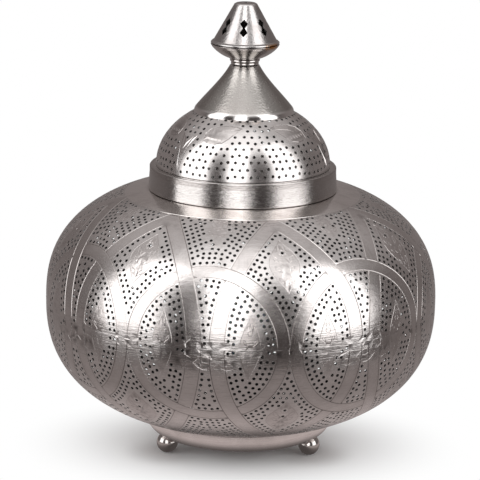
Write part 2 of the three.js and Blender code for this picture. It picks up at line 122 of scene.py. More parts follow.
class Signal:
    """A value or colour that varies over a surface, joined to others by plain sums."""

    def __init__(self, nodes: "Nodes", socket: Socket) -> None:
        """Keeps the socket that gives the value."""
        self.nodes, self.socket = nodes, socket

    def __add__(self, other: Value) -> "Signal":
        """The sum of two values."""
        return self.nodes.math("ADD", self, other)

    def __sub__(self, other: Value) -> "Signal":
        """This value less another."""
        return self.nodes.math("SUBTRACT", self, other)

    def __rsub__(self, other: float) -> "Signal":
        """A number less this value."""
        return self.nodes.math("SUBTRACT", other, self)

    def __mul__(self, other: Value) -> "Signal":
        """The product of two values."""
        return self.nodes.math("MULTIPLY", self, other)

    def __truediv__(self, other: Value) -> "Signal":
        """This value divided by another."""
        return self.nodes.math("DIVIDE", self, other)

    def most(self, other: Value) -> "Signal":
        """The larger of two values."""
        return self.nodes.math("MAXIMUM", self, other)

    def size(self) -> "Signal":
        """The value without its sign."""
        return self.nodes.math("ABSOLUTE", self)

    def clamped(self) -> "Signal":
        """The same sum, kept between none and one."""
        self.socket.node.use_clamp = True
        return self

    def ramp(self, low: Value, high: Value, start: float = 0.0, end: float = 1.0) -> "Signal":
        """The value eased from one range to another."""
        inputs = {"Value": self, "From Min": low, "From Max": high, "To Min": start, "To Max": end}
        return self.nodes.get("MapRange", "Result", inputs, interpolation_type="SMOOTHSTEP")


class Nodes:
    """Adds and joins the nodes of one shader tree."""

    def __init__(self, tree: Tree) -> None:
        """Keeps the tree that the nodes go into."""
        self.tree = tree

    def add(self, kind: str, inputs: Optional[dict] = None, **settings: object) -> bpy.types.Node:
        """Adds one node.

        Args:
            kind: the node's type, without the leading ShaderNode.
            inputs: a value, a socket or a signal for each named or numbered input.
            settings: properties of the node itself.

        Returns:
            The new node.
        """
        node = self.tree.nodes.new("ShaderNode" + kind)
        for key, value in settings.items():
            setattr(node, key, value)
        for key, value in (inputs or {}).items():
            self.put(value, node.inputs[key])
        return node

    def put(self, value: Value, socket: Socket) -> None:
        """Sets an input to a value, or joins a socket or signal to it.

        Args:
            value: what to set or join.
            socket: the input.
        """
        value = value.socket if isinstance(value, Signal) else value
        if isinstance(value, Socket):
            self.tree.links.new(value, socket)
        else:
            socket.default_value = value

    def get(self, kind: str, output: Union[int, str], inputs: Optional[dict] = None,
            **settings: object) -> Signal:
        """Adds one node and gives one of its outputs."""
        return Signal(self, self.add(kind, inputs, **settings).outputs[output])

    def math(self, operation: str, first: Value, second: Value = 0.5) -> Signal:
        """The result of one sum on two values."""
        return self.get("Math", 0, {0: first, 1: second}, operation=operation)

    def noise(self, place: Value, scale: Value, detail: float = 2.0, rough: float = 0.5) -> Signal:
        """A soft random value over the surface."""
        inputs = {"Vector": place, "Scale": scale, "Detail": detail, "Roughness": rough}
        return self.get("TexNoise", "Fac", inputs)

    def blend(self, factor: Value, first: Value, second: Value, mode: str = "MIX") -> Signal:
        """One colour laid over another by a factor."""
        return self.get("Mix", 2, {0: factor, 6: first, 7: second}, data_type="RGBA", blend_type=mode)

    def mix(self, factor: Value, first: Value, second: Value) -> Signal:
        """One value eased into another by a factor."""
        return self.get("Mix", 0, {0: factor, 2: first, 3: second}, data_type="FLOAT")

    def bump(self, height: Value, strength: float, distance: float,
             normal: Optional[Signal] = None) -> Signal:
        """A shading direction tilted by a height, over an earlier one if there is one."""
        inputs = {"Strength": strength, "Distance": distance, "Height": height}
        return self.get("Bump", 0, {**inputs, "Normal": normal} if normal else inputs)

    def vector(self, x: Value, y: Value, z: Value) -> Signal:
        """Three values joined as a vector."""
        return self.get("CombineXYZ", 0, {0: x, 1: y, 2: z})

    def parts(self, vector: Value) -> list[Signal]:
        """The three values of a vector."""
        return [Signal(self, socket) for socket in self.add("SeparateXYZ", {0: vector}).outputs]

    def object_place(self) -> Signal:
        """The place of a surface point in the piece's own frame."""
        return self.get("TexCoord", "Object")

    def reach(self, across: Signal, along: Signal) -> Signal:
        """The length of two sides at a right angle."""
        return self.math("SQRT", (across * across + along * along).most(1e-8))

    def round_place(self) -> tuple[Signal, Signal, Signal, Signal]:
        """A point's place as a direction round the axis, a distance from it and a height."""
        across, along, height = self.parts(self.object_place())
        reach = self.reach(across, along)
        return across / reach, along / reach, reach, height

    def group(self, tree: Tree, output: str, **inputs: Value) -> Signal:
        """One output of a shared group, placed with its own values."""
        return self.get("Group", output, inputs, node_tree=tree)


# How the shared effects are spread over a surface
POLISH_CUTS = ((0.5, 46.0), (-0.75, 38.0), (1.45, 52.0))
POLISH_FINENESS = 22.0
TARNISH_SOFT = (0.14, 0.16)
FLAT_BEND = (0.495, 0.505)


class Effects:
    """The surface effects that the finishes share, each a node group built once."""

    def __init__(self) -> None:
        """Builds every group."""
        self.lathe = self._lathe()
        self.polish = self._polish()
        self.tarnish = self._tarnish()
        self.beaten = self._beaten()
        self.highlight_and_recess = self._highlight_and_recess()

    @staticmethod
    def _open(name: str, inputs: dict[str, float],
              outputs: Sequence[str]) -> tuple[Nodes, dict[str, Signal], bpy.types.NodeInputs]:
        """Starts a group.

        Args:
            name: the group's name.
            inputs: its named values.
            outputs: the names of what it gives.

        Returns:
            Its node helper, its inputs as signals and the sockets of its exit.
        """
        tree = bpy.data.node_groups.new(name, "ShaderNodeTree")
        for label, value in inputs.items():
            socket = tree.interface.new_socket(name=label, in_out="INPUT", socket_type="NodeSocketFloat")
            socket.default_value = value
        for label in outputs:
            tree.interface.new_socket(name=label, in_out="OUTPUT", socket_type="NodeSocketFloat")
        nodes, entry = Nodes(tree), tree.nodes.new("NodeGroupInput")
        given = {label: Signal(nodes, entry.outputs[label]) for label in inputs}
        return nodes, given, tree.nodes.new("NodeGroupOutput").inputs

    def _lathe(self) -> Tree:
        """Fine marks that run round the axis, broken along their length.

        Returns:
            The group's tree.
        """
        nodes, given, leave = self._open("lathe brushing", {"Lines": 1600.0, "Breaks": 2.2}, ["Mark"])
        side, front, reach, height = nodes.round_place()
        across = (reach + height) * given["Lines"]
        place = nodes.vector(side * given["Breaks"], front * given["Breaks"], across)
        nodes.put(nodes.noise(place, 1.0, 3.0, 0.65), leave["Mark"])
        return nodes.tree

    def _polish(self) -> Tree:
        """Hair scratches of a polishing cloth, in three directions.

        Returns:
            The group's tree.
        """
        nodes, given, leave = self._open("hand polish", {"Scale": 1.0}, ["Mark"])
        total = None
        for turn_by, stretch in POLISH_CUTS:
            fine = stretch * POLISH_FINENESS
            place = nodes.get("Mapping", 0, {"Vector": nodes.object_place(), "Scale": (stretch, fine, fine),
                                             "Rotation": (turn_by, turn_by * 0.6, turn_by * 1.7)})
            mark = nodes.noise(place, given["Scale"], 2.0, 0.6)
            total = total + mark if total else mark
        nodes.put(total / float(len(POLISH_CUTS)), leave["Mark"])
        return nodes.tree

    def _tarnish(self) -> Tree:
        """Cloudy patches where the metal has dulled.

        Returns:
            The group's tree.
        """
        nodes, given, leave = self._open("tarnish", {"Scale": 14.0, "Edge": 0.56}, ["Mask"])
        cloud = nodes.noise(nodes.object_place(), given["Scale"], 5.0, 0.62)
        mask = cloud.ramp(given["Edge"] - TARNISH_SOFT[0], given["Edge"] + TARNISH_SOFT[1])
        nodes.put(mask, leave["Mask"])
        return nodes.tree

    def _beaten(self) -> Tree:
        """The shallow waves of sheet metal raised by hand."""
        nodes, given, leave = self._open("beaten sheet", {"Scale": 24.0}, ["Height"])
        nodes.put(nodes.noise(nodes.object_place(), given["Scale"], 1.0, 0.4), leave["Height"])
        return nodes.tree

    def _highlight_and_recess(self) -> Tree:
        """Painted highlights on sharp edges and dark recesses, both from the curvature of the mesh.

        Returns:
            The group's tree.
        """
        nodes, given, leave = self._open("edge wear", {"Reach": 0.06}, ["Edge", "Recess"])
        bend = nodes.get("NewGeometry", "Pointiness")
        nodes.put(((bend - FLAT_BEND[1]) / given["Reach"]).clamped(), leave["Edge"])
        nodes.put(((FLAT_BEND[0] - bend) / given["Reach"]).clamped(), leave["Recess"])
        return nodes.tree


def new_material(name: str) -> tuple[bpy.types.Material, Nodes, bpy.types.Node]:
    """A new material, its node helper and its Principled shader."""
    material = bpy.data.materials.new(name)
    material.use_nodes = True
    return material, Nodes(material.node_tree), material.node_tree.nodes["Principled BSDF"]


# Strengths that every metal finish shares
PATINA = "patina"
GROOVE_DARK = (0.07, 0.06, 0.055, 1.0)
GROOVE_SHARE = 0.85
RECESS_DULL = 0.7
EDGE_SHINE = 0.35
# Painted highlight: the light grey that sharp edges are lightened towards
PAINTED_EDGE_HIGHLIGHT = grey(0.86, 0.02)
GRAIN_SHADE = (0.3, 0.7, 0.0, 0.2)
TARNISH_ROUGHNESS = 0.12
GRAIN_HEIGHT = 0.0004
WAVE_HEIGHT = 0.004
SCRATCH_HEIGHT = 0.0005
SCRATCH_LINES = 720.0
SCRATCH_BREAKS = 13.0
SCRATCH_SHADE = (0.5, 0.75, 0.0, 0.3)
SPECKLE_SCALE = 560.0
SPECKLE_GLINT = 0.7
GLOSS_EDGE = 0.0025
GLOSS_ROUGHNESS = 0.13
GLOSS_COLOUR = grey(0.7, 0.04)


@dataclass(frozen=True)
class MetalFinish:
    """A bare metal surface with its working marks, dull patches and edges lightened as a painted highlight.
    """

    name: str
    slot: str
    bright: Colour
    dull: Colour
    roughness: float
    grain: Grain = Grain.HAND
    grain_swing: float = 0.16
    grain_depth: float = 0.12
    wave_depth: float = 0.0
    tarnish_scale: float = 14.0
    tarnish_share: float = 0.5
    scratch: float = 0.0
    speckle: float = 0.0
    gloss_under: float = 0.0

    def build(self, effects: Effects) -> bpy.types.Material:
        """Makes the material.

        Args:
            effects: the shared node groups.

        Returns:
            The finished material.
        """
        material, nodes, shader = new_material(self.name)
        mark = nodes.group(effects.lathe if self.grain is Grain.LATHE else effects.polish, "Mark")
        mask = nodes.group(effects.tarnish, "Mask", Scale=self.tarnish_scale) * self.tarnish_share
        mask = mask.most(nodes.group(effects.highlight_and_recess, "Recess") * RECESS_DULL)
        colour = nodes.blend(mask, self.bright, self.dull)
        # Painted highlight: sharp edges lightened from the mesh's curvature
        colour = nodes.blend(nodes.group(effects.highlight_and_recess, "Edge") * EDGE_SHINE, colour, PAINTED_EDGE_HIGHLIGHT)
        colour = nodes.blend(mark.ramp(*GRAIN_SHADE), colour, self.dull)
        colour, extra, mark = self.local_marks(nodes, colour, mark)
        swing = (mark - 0.5) * self.grain_swing
        rough = (mask * TARNISH_ROUGHNESS + self.roughness + swing + extra).clamped()
        normal = nodes.bump(mark, self.grain_depth, GRAIN_HEIGHT)
        if self.wave_depth:
            normal = nodes.bump(nodes.group(effects.beaten, "Height"), self.wave_depth, WAVE_HEIGHT, normal)
        if self.scratch:
            line = nodes.group(effects.lathe, "Mark", Lines=SCRATCH_LINES, Breaks=SCRATCH_BREAKS)
            normal = nodes.bump(line, self.scratch, SCRATCH_HEIGHT, normal)
            colour = nodes.blend(line.ramp(*SCRATCH_SHADE), colour, self.dull)
        if self.speckle:
            speck = nodes.noise(nodes.object_place(), SPECKLE_SCALE, 2.0, 0.6)
            rough = (rough - (speck - 0.5) * (self.speckle * SPECKLE_GLINT)).clamped()
            normal = nodes.bump(speck, self.speckle, GRAIN_HEIGHT, normal)
        if self.gloss_under:
            height = nodes.parts(nodes.object_place())[2]
            share = height.ramp(self.gloss_under, self.gloss_under + GLOSS_EDGE, 1.0, 0.0)
            rough = nodes.mix(share, rough, GLOSS_ROUGHNESS)
            colour = nodes.blend(share, colour, GLOSS_COLOUR)
            smooth = nodes.get("NewGeometry", "Normal")
            mixed = nodes.get("Mix", 1, {0: share, 4: normal, 5: smooth}, data_type="VECTOR")
            normal = nodes.get("VectorMath", 0, {0: mixed}, operation="NORMALIZE")
        groove = nodes.get("Attribute", "Fac", attribute_name=PATINA) * GROOVE_SHARE
        colour = nodes.blend(groove, colour, GROOVE_DARK)
        for label, value in (("Base Color", colour), ("Roughness", rough), ("Normal", normal),
                             ("Metallic", 1.0)):
            nodes.put(value, shader.inputs[label])
        return material

    def local_marks(self, nodes: Nodes, colour: Signal, mark: Signal) -> tuple[Signal, Value, Signal]:
        """Adds marks found at one place only, of which a plain finish has none.

        Args:
            nodes: the material's node helper; not used here.
            colour: the colour so far.
            mark: the grain so far.

        Returns:
            The colour, the roughness to add and the grain with the marks in them.
        """
        return colour, 0.0, mark


@dataclass(frozen=True)
class SeamedFinish(MetalFinish):
    """A metal finish with file marks along a level seam."""

    seam: float = 0.0
    seam_reach: float = 0.026
    filed_reach: float = 0.018
    file_lines: float = 1400.0
    file_breaks: float = 7.0
    filed_dull: float = 0.35
    filed_gloss: float = 0.09

    def local_marks(self, nodes: Nodes, colour: Signal, mark: Signal) -> tuple[Signal, Value, Signal]:
        """Adds the file marks in broken patches along the seam.

        Args:
            nodes: the material's node helper.
            colour: the colour so far.
            mark: the grain so far.

        Returns:
            The colour, the roughness to add and the grain with the marks in them.
        """
        side, front, _, height = nodes.round_place()
        away = (height - self.seam).size()
        cloud = nodes.noise(nodes.vector(side, front, height * 9.0), 4.5, 3.0)
        mask = away.ramp(0.001, self.filed_reach, 1.0, 0.0) * cloud.ramp(0.38, 0.6)
        lines = nodes.vector(side * self.file_breaks, front * self.file_breaks, height * self.file_lines)
        mixed = nodes.mix(mask, mark, nodes.noise(lines, 1.0, 2.0, 0.7))
        colour = nodes.blend(mask * self.filed_dull, colour, self.dull)
        return colour, away.ramp(0.001, self.seam_reach, 1.0, 0.0) * -self.filed_gloss, mixed


@dataclass(frozen=True)
class StainedFinish(MetalFinish):
    """A metal finish with a run of brass solder on one side of a rim."""

    rim: float = 0.0
    rim_reach: float = 0.0035
    facing: Point = (0.79, 0.61)
    solder: Colour = (0.42, 0.2, 0.06, 1.0)
    solder_rough: float = 0.12

    def local_marks(self, nodes: Nodes, colour: Signal, mark: Signal) -> tuple[Signal, Value, Signal]:
        """Adds the solder stain on the side that the finish names.

        Args:
            nodes: the material's node helper.
            colour: the colour so far.
            mark: the grain so far.

        Returns:
            The colour, the roughness to add and the grain with the marks in them.
        """
        side, front, _, height = nodes.round_place()
        facing = side * self.facing[0] - front * self.facing[1]
        cloud = nodes.noise(nodes.object_place(), 190.0, 3.0)
        mask = (height - self.rim).size().ramp(0.0008, self.rim_reach, 1.0, 0.0) * facing.ramp(0.93, 0.985)
        mask = mask * cloud.ramp(0.34, 0.55)
        return nodes.blend(mask, colour, self.solder), mask * self.solder_rough, mark


# Strengths that every smooth finish shares
SMOOTH_HEIGHT = 0.0003
SMOOTH_SWING = 0.12
SMOOTH_CLOUD = 0.5
SMOOTH_CLOUD_SCALE = 55.0


@dataclass(frozen=True)
class SmoothFinish:
    """A moulded, fired or blown surface: plastic, porcelain, rubber or opal glass."""

    name: str
    slot: str
    colour: Colour
    shade: Colour
    roughness: float
    grain_scale: float = 900.0
    grain_depth: float = 0.08
    coat: float = 0.0
    glow: float = 0.0

    def build(self, effects: Effects) -> bpy.types.Material:
        """Makes the material from the shared node groups.

        Args:
            effects: the shared node groups.

        Returns:
            The finished material.
        """
        material, nodes, shader = new_material(self.name)
        speck = nodes.noise(nodes.object_place(), self.grain_scale, 3.0, 0.6)
        cloud = nodes.group(effects.tarnish, "Mask", Scale=SMOOTH_CLOUD_SCALE) * SMOOTH_CLOUD
        colour = nodes.blend(cloud.most(nodes.group(effects.highlight_and_recess, "Recess")), self.colour, self.shade)
        rough = ((speck - 0.5) * SMOOTH_SWING + self.roughness).clamped()
        normal = nodes.bump(speck, self.grain_depth, SMOOTH_HEIGHT)
        for label, value in (("Base Color", colour), ("Roughness", rough), ("Normal", normal),
                             ("Coat Weight", self.coat), ("Subsurface Weight", self.glow)):
            nodes.put(value, shader.inputs[label])
        return material


# The finishes, and the heights in mm at which three of them change
NICKEL_DULL = (0.33, 0.295, 0.28, 1.0)
EQUATOR = 137.5
CAP_RIM = 364.4
CONE_LIP = 308.0

BODY_NICKEL = SeamedFinish("satin nickel body", "satin_nickel", (0.68, 0.64, 0.625, 1.0), NICKEL_DULL, 0.21,
                           wave_depth=0.16, tarnish_scale=11.0, scratch=0.36, seam=EQUATOR * MM)
DOME_NICKEL = MetalFinish("satin nickel dome", "satin_nickel", (0.68, 0.64, 0.625, 1.0), NICKEL_DULL, 0.2,
                          wave_depth=0.1, tarnish_scale=20.0)
BAND_NICKEL = MetalFinish("brushed nickel band", "brushed_nickel", (0.49, 0.468, 0.455, 1.0), NICKEL_DULL,
                          0.13, Grain.LATHE, grain_swing=0.14, grain_depth=0.26, wave_depth=0.05,
                          tarnish_scale=26.0, tarnish_share=0.4, scratch=0.42)
# Painted shade: a darker copy of the brushed nickel, so the cone reads darker
CONE_NICKEL_PAINTED_SHADE = MetalFinish("brushed nickel cone", "brushed_nickel", (0.39, 0.373, 0.353, 1.0), NICKEL_DULL,
                          0.2, grain_swing=0.3, wave_depth=0.14, tarnish_scale=34.0, speckle=0.45,
                          gloss_under=CONE_LIP * MM)
FINIAL_NICKEL = StainedFinish("polished nickel finial", "polished_nickel", (0.49, 0.47, 0.465, 1.0),
                              NICKEL_DULL, 0.18, wave_depth=0.1, tarnish_scale=60.0, speckle=0.32,
                              rim=CAP_RIM * MM)
BOWL_NICKEL = StainedFinish("polished nickel bowl", "polished_nickel", (0.66, 0.63, 0.61, 1.0), NICKEL_DULL,
                            0.14, wave_depth=0.05, tarnish_scale=60.0, rim=CAP_RIM * MM)
# Painted shade: a darker copy of the polished nickel, so the feet read darker
FOOT_NICKEL_PAINTED_SHADE = MetalFinish("polished nickel feet", "polished_nickel", (0.56, 0.53, 0.51, 1.0), NICKEL_DULL,
                          0.15, tarnish_scale=60.0)
# Painted light: a much lighter copy of the polished nickel, so the collar reads bright
COLLAR_NICKEL_PAINTED_LIGHT = MetalFinish("polished nickel collar", "polished_nickel", (0.95, 0.91, 0.885, 1.0),
                            NICKEL_DULL, 0.13, grain_swing=0.08, wave_depth=0.06, tarnish_scale=40.0,
                            tarnish_share=0.3)
# Painted light: a lighter copy of the polished nickel, so the dish reads lighter
BASE_NICKEL_PAINTED_LIGHT = MetalFinish("polished nickel base", "polished_nickel", (0.9, 0.845, 0.825, 1.0), NICKEL_DULL,
                          0.24, Grain.LATHE, grain_swing=0.14, grain_depth=0.14, tarnish_scale=30.0,
                          tarnish_share=0.25)
# Painted shade: near-black metal for the inside of the shells and most hole walls, standing for the shade
# inside the closed lamp
PAINTED_SHADE_INSIDE = MetalFinish("inner metal in painted shade", "satin_nickel", (0.06, 0.055, 0.052, 1.0),
                         (0.03, 0.027, 0.025, 1.0), 0.55)
BRASS = MetalFinish("brass", "brass", (0.72, 0.52, 0.24, 1.0), (0.4, 0.27, 0.12, 1.0), 0.28, Grain.LATHE)
STEEL = MetalFinish("plated steel", "steel", (0.55, 0.56, 0.57, 1.0), (0.3, 0.3, 0.3, 1.0), 0.32)
BLACK_PLASTIC = SmoothFinish("black moulded plastic", "black_plastic", grey(0.016), grey(0.03, 0.05), 0.42)
PORCELAIN = SmoothFinish("white porcelain", "porcelain", (0.78, 0.76, 0.7, 1.0), (0.6, 0.57, 0.5, 1.0), 0.2,
                         coat=0.6)
OPAL_GLASS = SmoothFinish("opal glass", "opal_glass", (0.86, 0.85, 0.81, 1.0), (0.8, 0.78, 0.72, 1.0), 0.16,
                          grain_scale=300.0, grain_depth=0.02, coat=0.5, glow=0.25)
RUBBER = SmoothFinish("black rubber", "rubber", grey(0.02), grey(0.045), 0.75, grain_depth=0.2)
FINISHES = (BODY_NICKEL, DOME_NICKEL, BAND_NICKEL, CONE_NICKEL_PAINTED_SHADE, FINIAL_NICKEL, BOWL_NICKEL, FOOT_NICKEL_PAINTED_SHADE,
            COLLAR_NICKEL_PAINTED_LIGHT, BASE_NICKEL_PAINTED_LIGHT, PAINTED_SHADE_INSIDE, BRASS, STEEL, BLACK_PLASTIC, PORCELAIN, OPAL_GLASS,
            RUBBER)
Finish = Union[MetalFinish, SmoothFinish]


class FinishShelf:
    """The finished materials, each made once."""

    def __init__(self) -> None:
        """Builds a material for every finish."""
        effects = Effects()
        self.materials = {finish.name: finish.build(effects) for finish in FINISHES}

    def dress(self, piece: Piece, *finishes: Finish) -> None:
        """Gives a piece its materials, the first one all over.

        Args:
            piece: the piece.
            finishes: its finishes, the main one first.
        """
        if piece.data.materials:
            piece.data.materials.clear()
        for finish in finishes:
            piece.data.materials.append(self.materials[finish.name])

    def place(self, piece: Piece, body: Body, finishes: Sequence[Finish], *nodes: str) -> None:
        """Dresses a finished piece and fixes it to its body.

        Args:
            piece: the piece.
            body: the body that it moves with.
            finishes: its finishes, the main one first.
            nodes: the CAD nodes that it stands for.
        """
        self.dress(piece, *finishes)
        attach(piece, body.value)
        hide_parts(*nodes)
        piece.data.calc_loop_triangles()
        LOG.info("%s: %d triangles on %s", piece.name, len(piece.data.loop_triangles), body.value)


def turn(name: str, profile: Profile, steps: int = 96, axis: Point = (0.0, 0.0),
         crease: float = 32.0) -> Piece:
    """Turns a profile round an upright axis, as on a lathe.

    Args:
        name: the piece's name.
        profile: its section as radius and height in mm, ends on the axis or joined up.
        steps: the number of sides.
        axis: the place of the axis.
        crease: the angle in degrees past which an edge stays sharp.

    Returns:
        The turned piece.
    """
    bpy.ops.object.select_all(action="DESELECT")
    bpy.ops.mesh.primitive_plane_add(size=MM)
    piece = bpy.context.object
    piece.name = piece.data.name = name
    bpy.ops.object.mode_set(mode="EDIT")
    bpy.ops.mesh.select_all(action="SELECT")
    bpy.ops.mesh.merge(type="CENTER")
    places = [((axis[0] + radius) * MM, axis[1] * MM, height * MM) for radius, height in profile]
    bpy.ops.transform.translate(value=places[0])
    for here, there in zip(places, places[1:]):
        step = tuple(b - a for a, b in zip(here, there))
        bpy.ops.mesh.extrude_region_move(TRANSFORM_OT_translate={"value": step})
    bpy.ops.mesh.select_all(action="SELECT")
    centre = (axis[0] * MM, axis[1] * MM, 0.0)
    bpy.ops.mesh.spin(steps=steps, angle=FULL_TURN, center=centre, axis=(0.0, 0.0, 1.0))
    bpy.ops.mesh.select_all(action="SELECT")
    bpy.ops.mesh.remove_doubles(threshold=MERGE_REACH)
    bpy.ops.mesh.normals_make_consistent(inside=False)
    bpy.ops.object.mode_set(mode="OBJECT")
    bpy.ops.object.shade_smooth_by_angle(angle=math.radians(crease))
    return piece


# Pierced and engraved sheet


def columns(*values: Array) -> Array:
    """Rows made of one value from each array."""
    return np.stack(values, 1)


def even_turns(steps: int) -> Array:
    """Even angles round a full turn."""
    return np.linspace(0.0, FULL_TURN, steps, endpoint=False)


def level_ring(level: float, steps: int) -> Array:
    """Marks evenly round a sheet at one level."""
    return columns(even_turns(steps), np.full(steps, float(level)))


def wrapped(angle: float) -> float:
    """An angle brought to within half a turn of none."""
    return (angle + math.pi) % FULL_TURN - math.pi


def search_tree(points: Array) -> kdtree.KDTree:
    """A search tree of points.

    Args:
        points: their places.

    Returns:
        The balanced tree.
    """
    tree = kdtree.KDTree(len(points))
    for number, point in enumerate(points):
        tree.insert(point, number)
    tree.balance()
    return tree


@dataclass
class SheetCurve:
    """The outer curve of a raised sheet, from its wide edge to its narrow edge."""

    radii: Array
    heights: Array
    faces_up: bool = True
    reach: Array = field(init=False)
    shrink: Array = field(init=False)
    lean: Array = field(init=False)

    def __post_init__(self) -> None:
        """Measures the curve along its length."""
        steps = np.hypot(np.diff(self.radii), np.diff(self.heights))
        self.reach = np.concatenate([[0.0], np.cumsum(steps)])
        middle = (self.radii[1:] + self.radii[:-1]) / 2
        self.shrink = np.concatenate([[0.0], np.cumsum(steps / middle)])
        side = 1.0 if self.faces_up else -1.0
        outward = side * np.gradient(self.heights, self.reach)
        upward = -side * np.gradient(self.radii, self.reach)
        self.lean = columns(outward, upward) / np.hypot(outward, upward)[:, None]

    @property
    def length(self) -> float:
        """The curve's whole length."""
        return float(self.reach[-1])

    def radius(self, reach: Array) -> Array:
        """The distance from the axis at a reach along the curve."""
        return np.interp(reach, self.reach, self.radii)

    def normals(self, marks: Array) -> Array:
        """The outward directions at marks, each an angle and a reach."""
        outward = np.interp(marks[:, 1], self.reach, self.lean[:, 0])
        upward = np.interp(marks[:, 1], self.reach, self.lean[:, 1])
        return columns(outward * np.sin(marks[:, 0]), -outward * np.cos(marks[:, 0]), upward)

    def places(self, marks: Array, sink: Union[float, Array] = 0.0) -> Array:
        """The points of the sheet at marks, sunk below its face.

        Args:
            marks: an angle and a reach each.
            sink: the depth below the face.

        Returns:
            The points in mm.
        """
        radius = self.radius(marks[:, 1])
        height = np.interp(marks[:, 1], self.reach, self.heights)
        points = columns(radius * np.sin(marks[:, 0]), -radius * np.cos(marks[:, 0]), height)
        depth = np.broadcast_to(np.asarray(sink, float), radius.shape)
        return points - self.normals(marks) * depth[:, None]

    def flatten(self, marks: Array) -> Array:
        """Lays marks out flat round the narrow edge, with small shapes kept true."""
        scale = self.radii[0] * np.exp(-np.interp(marks[:, 1], self.reach, self.shrink))
        return columns(scale * np.sin(marks[:, 0]), -scale * np.cos(marks[:, 0]))

    def raise_flat(self, flat: Array) -> Array:
        """The marks of points that were laid out flat."""
        scale = np.log(self.radii[0] / np.maximum(np.hypot(flat[:, 0], flat[:, 1]), 1e-9))
        return columns(np.arctan2(flat[:, 0], -flat[:, 1]), np.interp(scale, self.shrink, self.reach))

    def shape(self, angle: float, reach: float, outline: Array) -> Array:
        """Marks of a small outline, drawn in mm round a middle."""
        along = reach + outline[:, 1]
        return columns(angle + outline[:, 0] / self.radius(along), along)


@dataclass
class Stroke:
    """One engraved line, its points an angle and a reach each."""

    points: Array
    closed: bool = False
    half_width: float = 0.42
    depth: float = 0.3

    @property
    def line(self) -> Array:
        """The points, with the first one again at the end of a closed stroke."""
        return np.vstack([self.points, self.points[:1]]) if self.closed else self.points


def sideways(marks: Array, radius: Array, closed: bool, distance: float) -> Array:
    """The steps that move a line sideways on a sheet.

    Args:
        marks: the line's points, an angle and a reach each.
        radius: the sheet's radius at each of them.
        closed: whether the line's ends meet.
        distance: how far to the side, in mm.

    Returns:
        The step of each point, as an angle and a reach.
    """
    scale = columns(radius, np.ones(len(marks)))
    step = np.roll(marks, -1, 0) - np.roll(marks, 1, 0) if closed else np.gradient(marks, axis=0)
    along = step * scale
    along /= np.maximum(np.hypot(along[:, 0], along[:, 1]), 1e-9)[:, None]
    return columns(-along[:, 1], along[:, 0]) * distance / scale


class FlatDrawing:
    """The points, lines and holes of a sheet laid out flat, ready to be meshed."""

    def __init__(self) -> None:
        """Starts an empty drawing."""
        self.marks: list[Array] = []
        self.count = 0
        self.edges: list[tuple[int, int]] = []
        self.holes: list[list[int]] = []

    def points(self, marks: Array) -> list[int]:
        """Adds points and gives their numbers."""
        self.marks.append(marks)
        first, self.count = self.count, self.count + len(marks)
        return list(range(first, self.count))

    def line(self, numbers: Sequence[int], closed: bool) -> None:
        """Joins points by a line."""
        self.edges += list(zip(numbers, numbers[1:]))
        if closed:
            self.edges.append((numbers[-1], numbers[0]))

    def mesh(self, curve: SheetCurve) -> tuple[Array, Array, Array]:
        """Fills the drawing with triangles.

        Args:
            curve: the sheet's curve.

        Returns:
            The marks of every corner, the triangles outside the holes, and each point's corner number.
        """
        flat = curve.flatten(np.concatenate(self.marks))
        corners = [Vector((float(x), float(y))) for x, y in flat]
        result = delaunay_2d_cdt(corners, self.edges, self.holes, 0, 1e-5)
        where = np.zeros(self.count, int)
        for number, sources in enumerate(result[3]):
            where[sources] = number
        triangles = np.array([face for face, source in zip(result[2], result[5]) if not source])
        return curve.raise_flat(np.array([tuple(corner) for corner in result[0]])), triangles, where


# Steps for sampling the engraving, its least depth and the depth that stays bright, in mm
STROKE_SAMPLE = 0.15
LINE_SAMPLE = 0.8
LEAST_SINK = 0.01
CLEAN_SINK = 0.05

# One hole in this many keeps the bright finish on its wall; the others take the near-black painted shade
BRIGHT_WALL_EVERY = 4


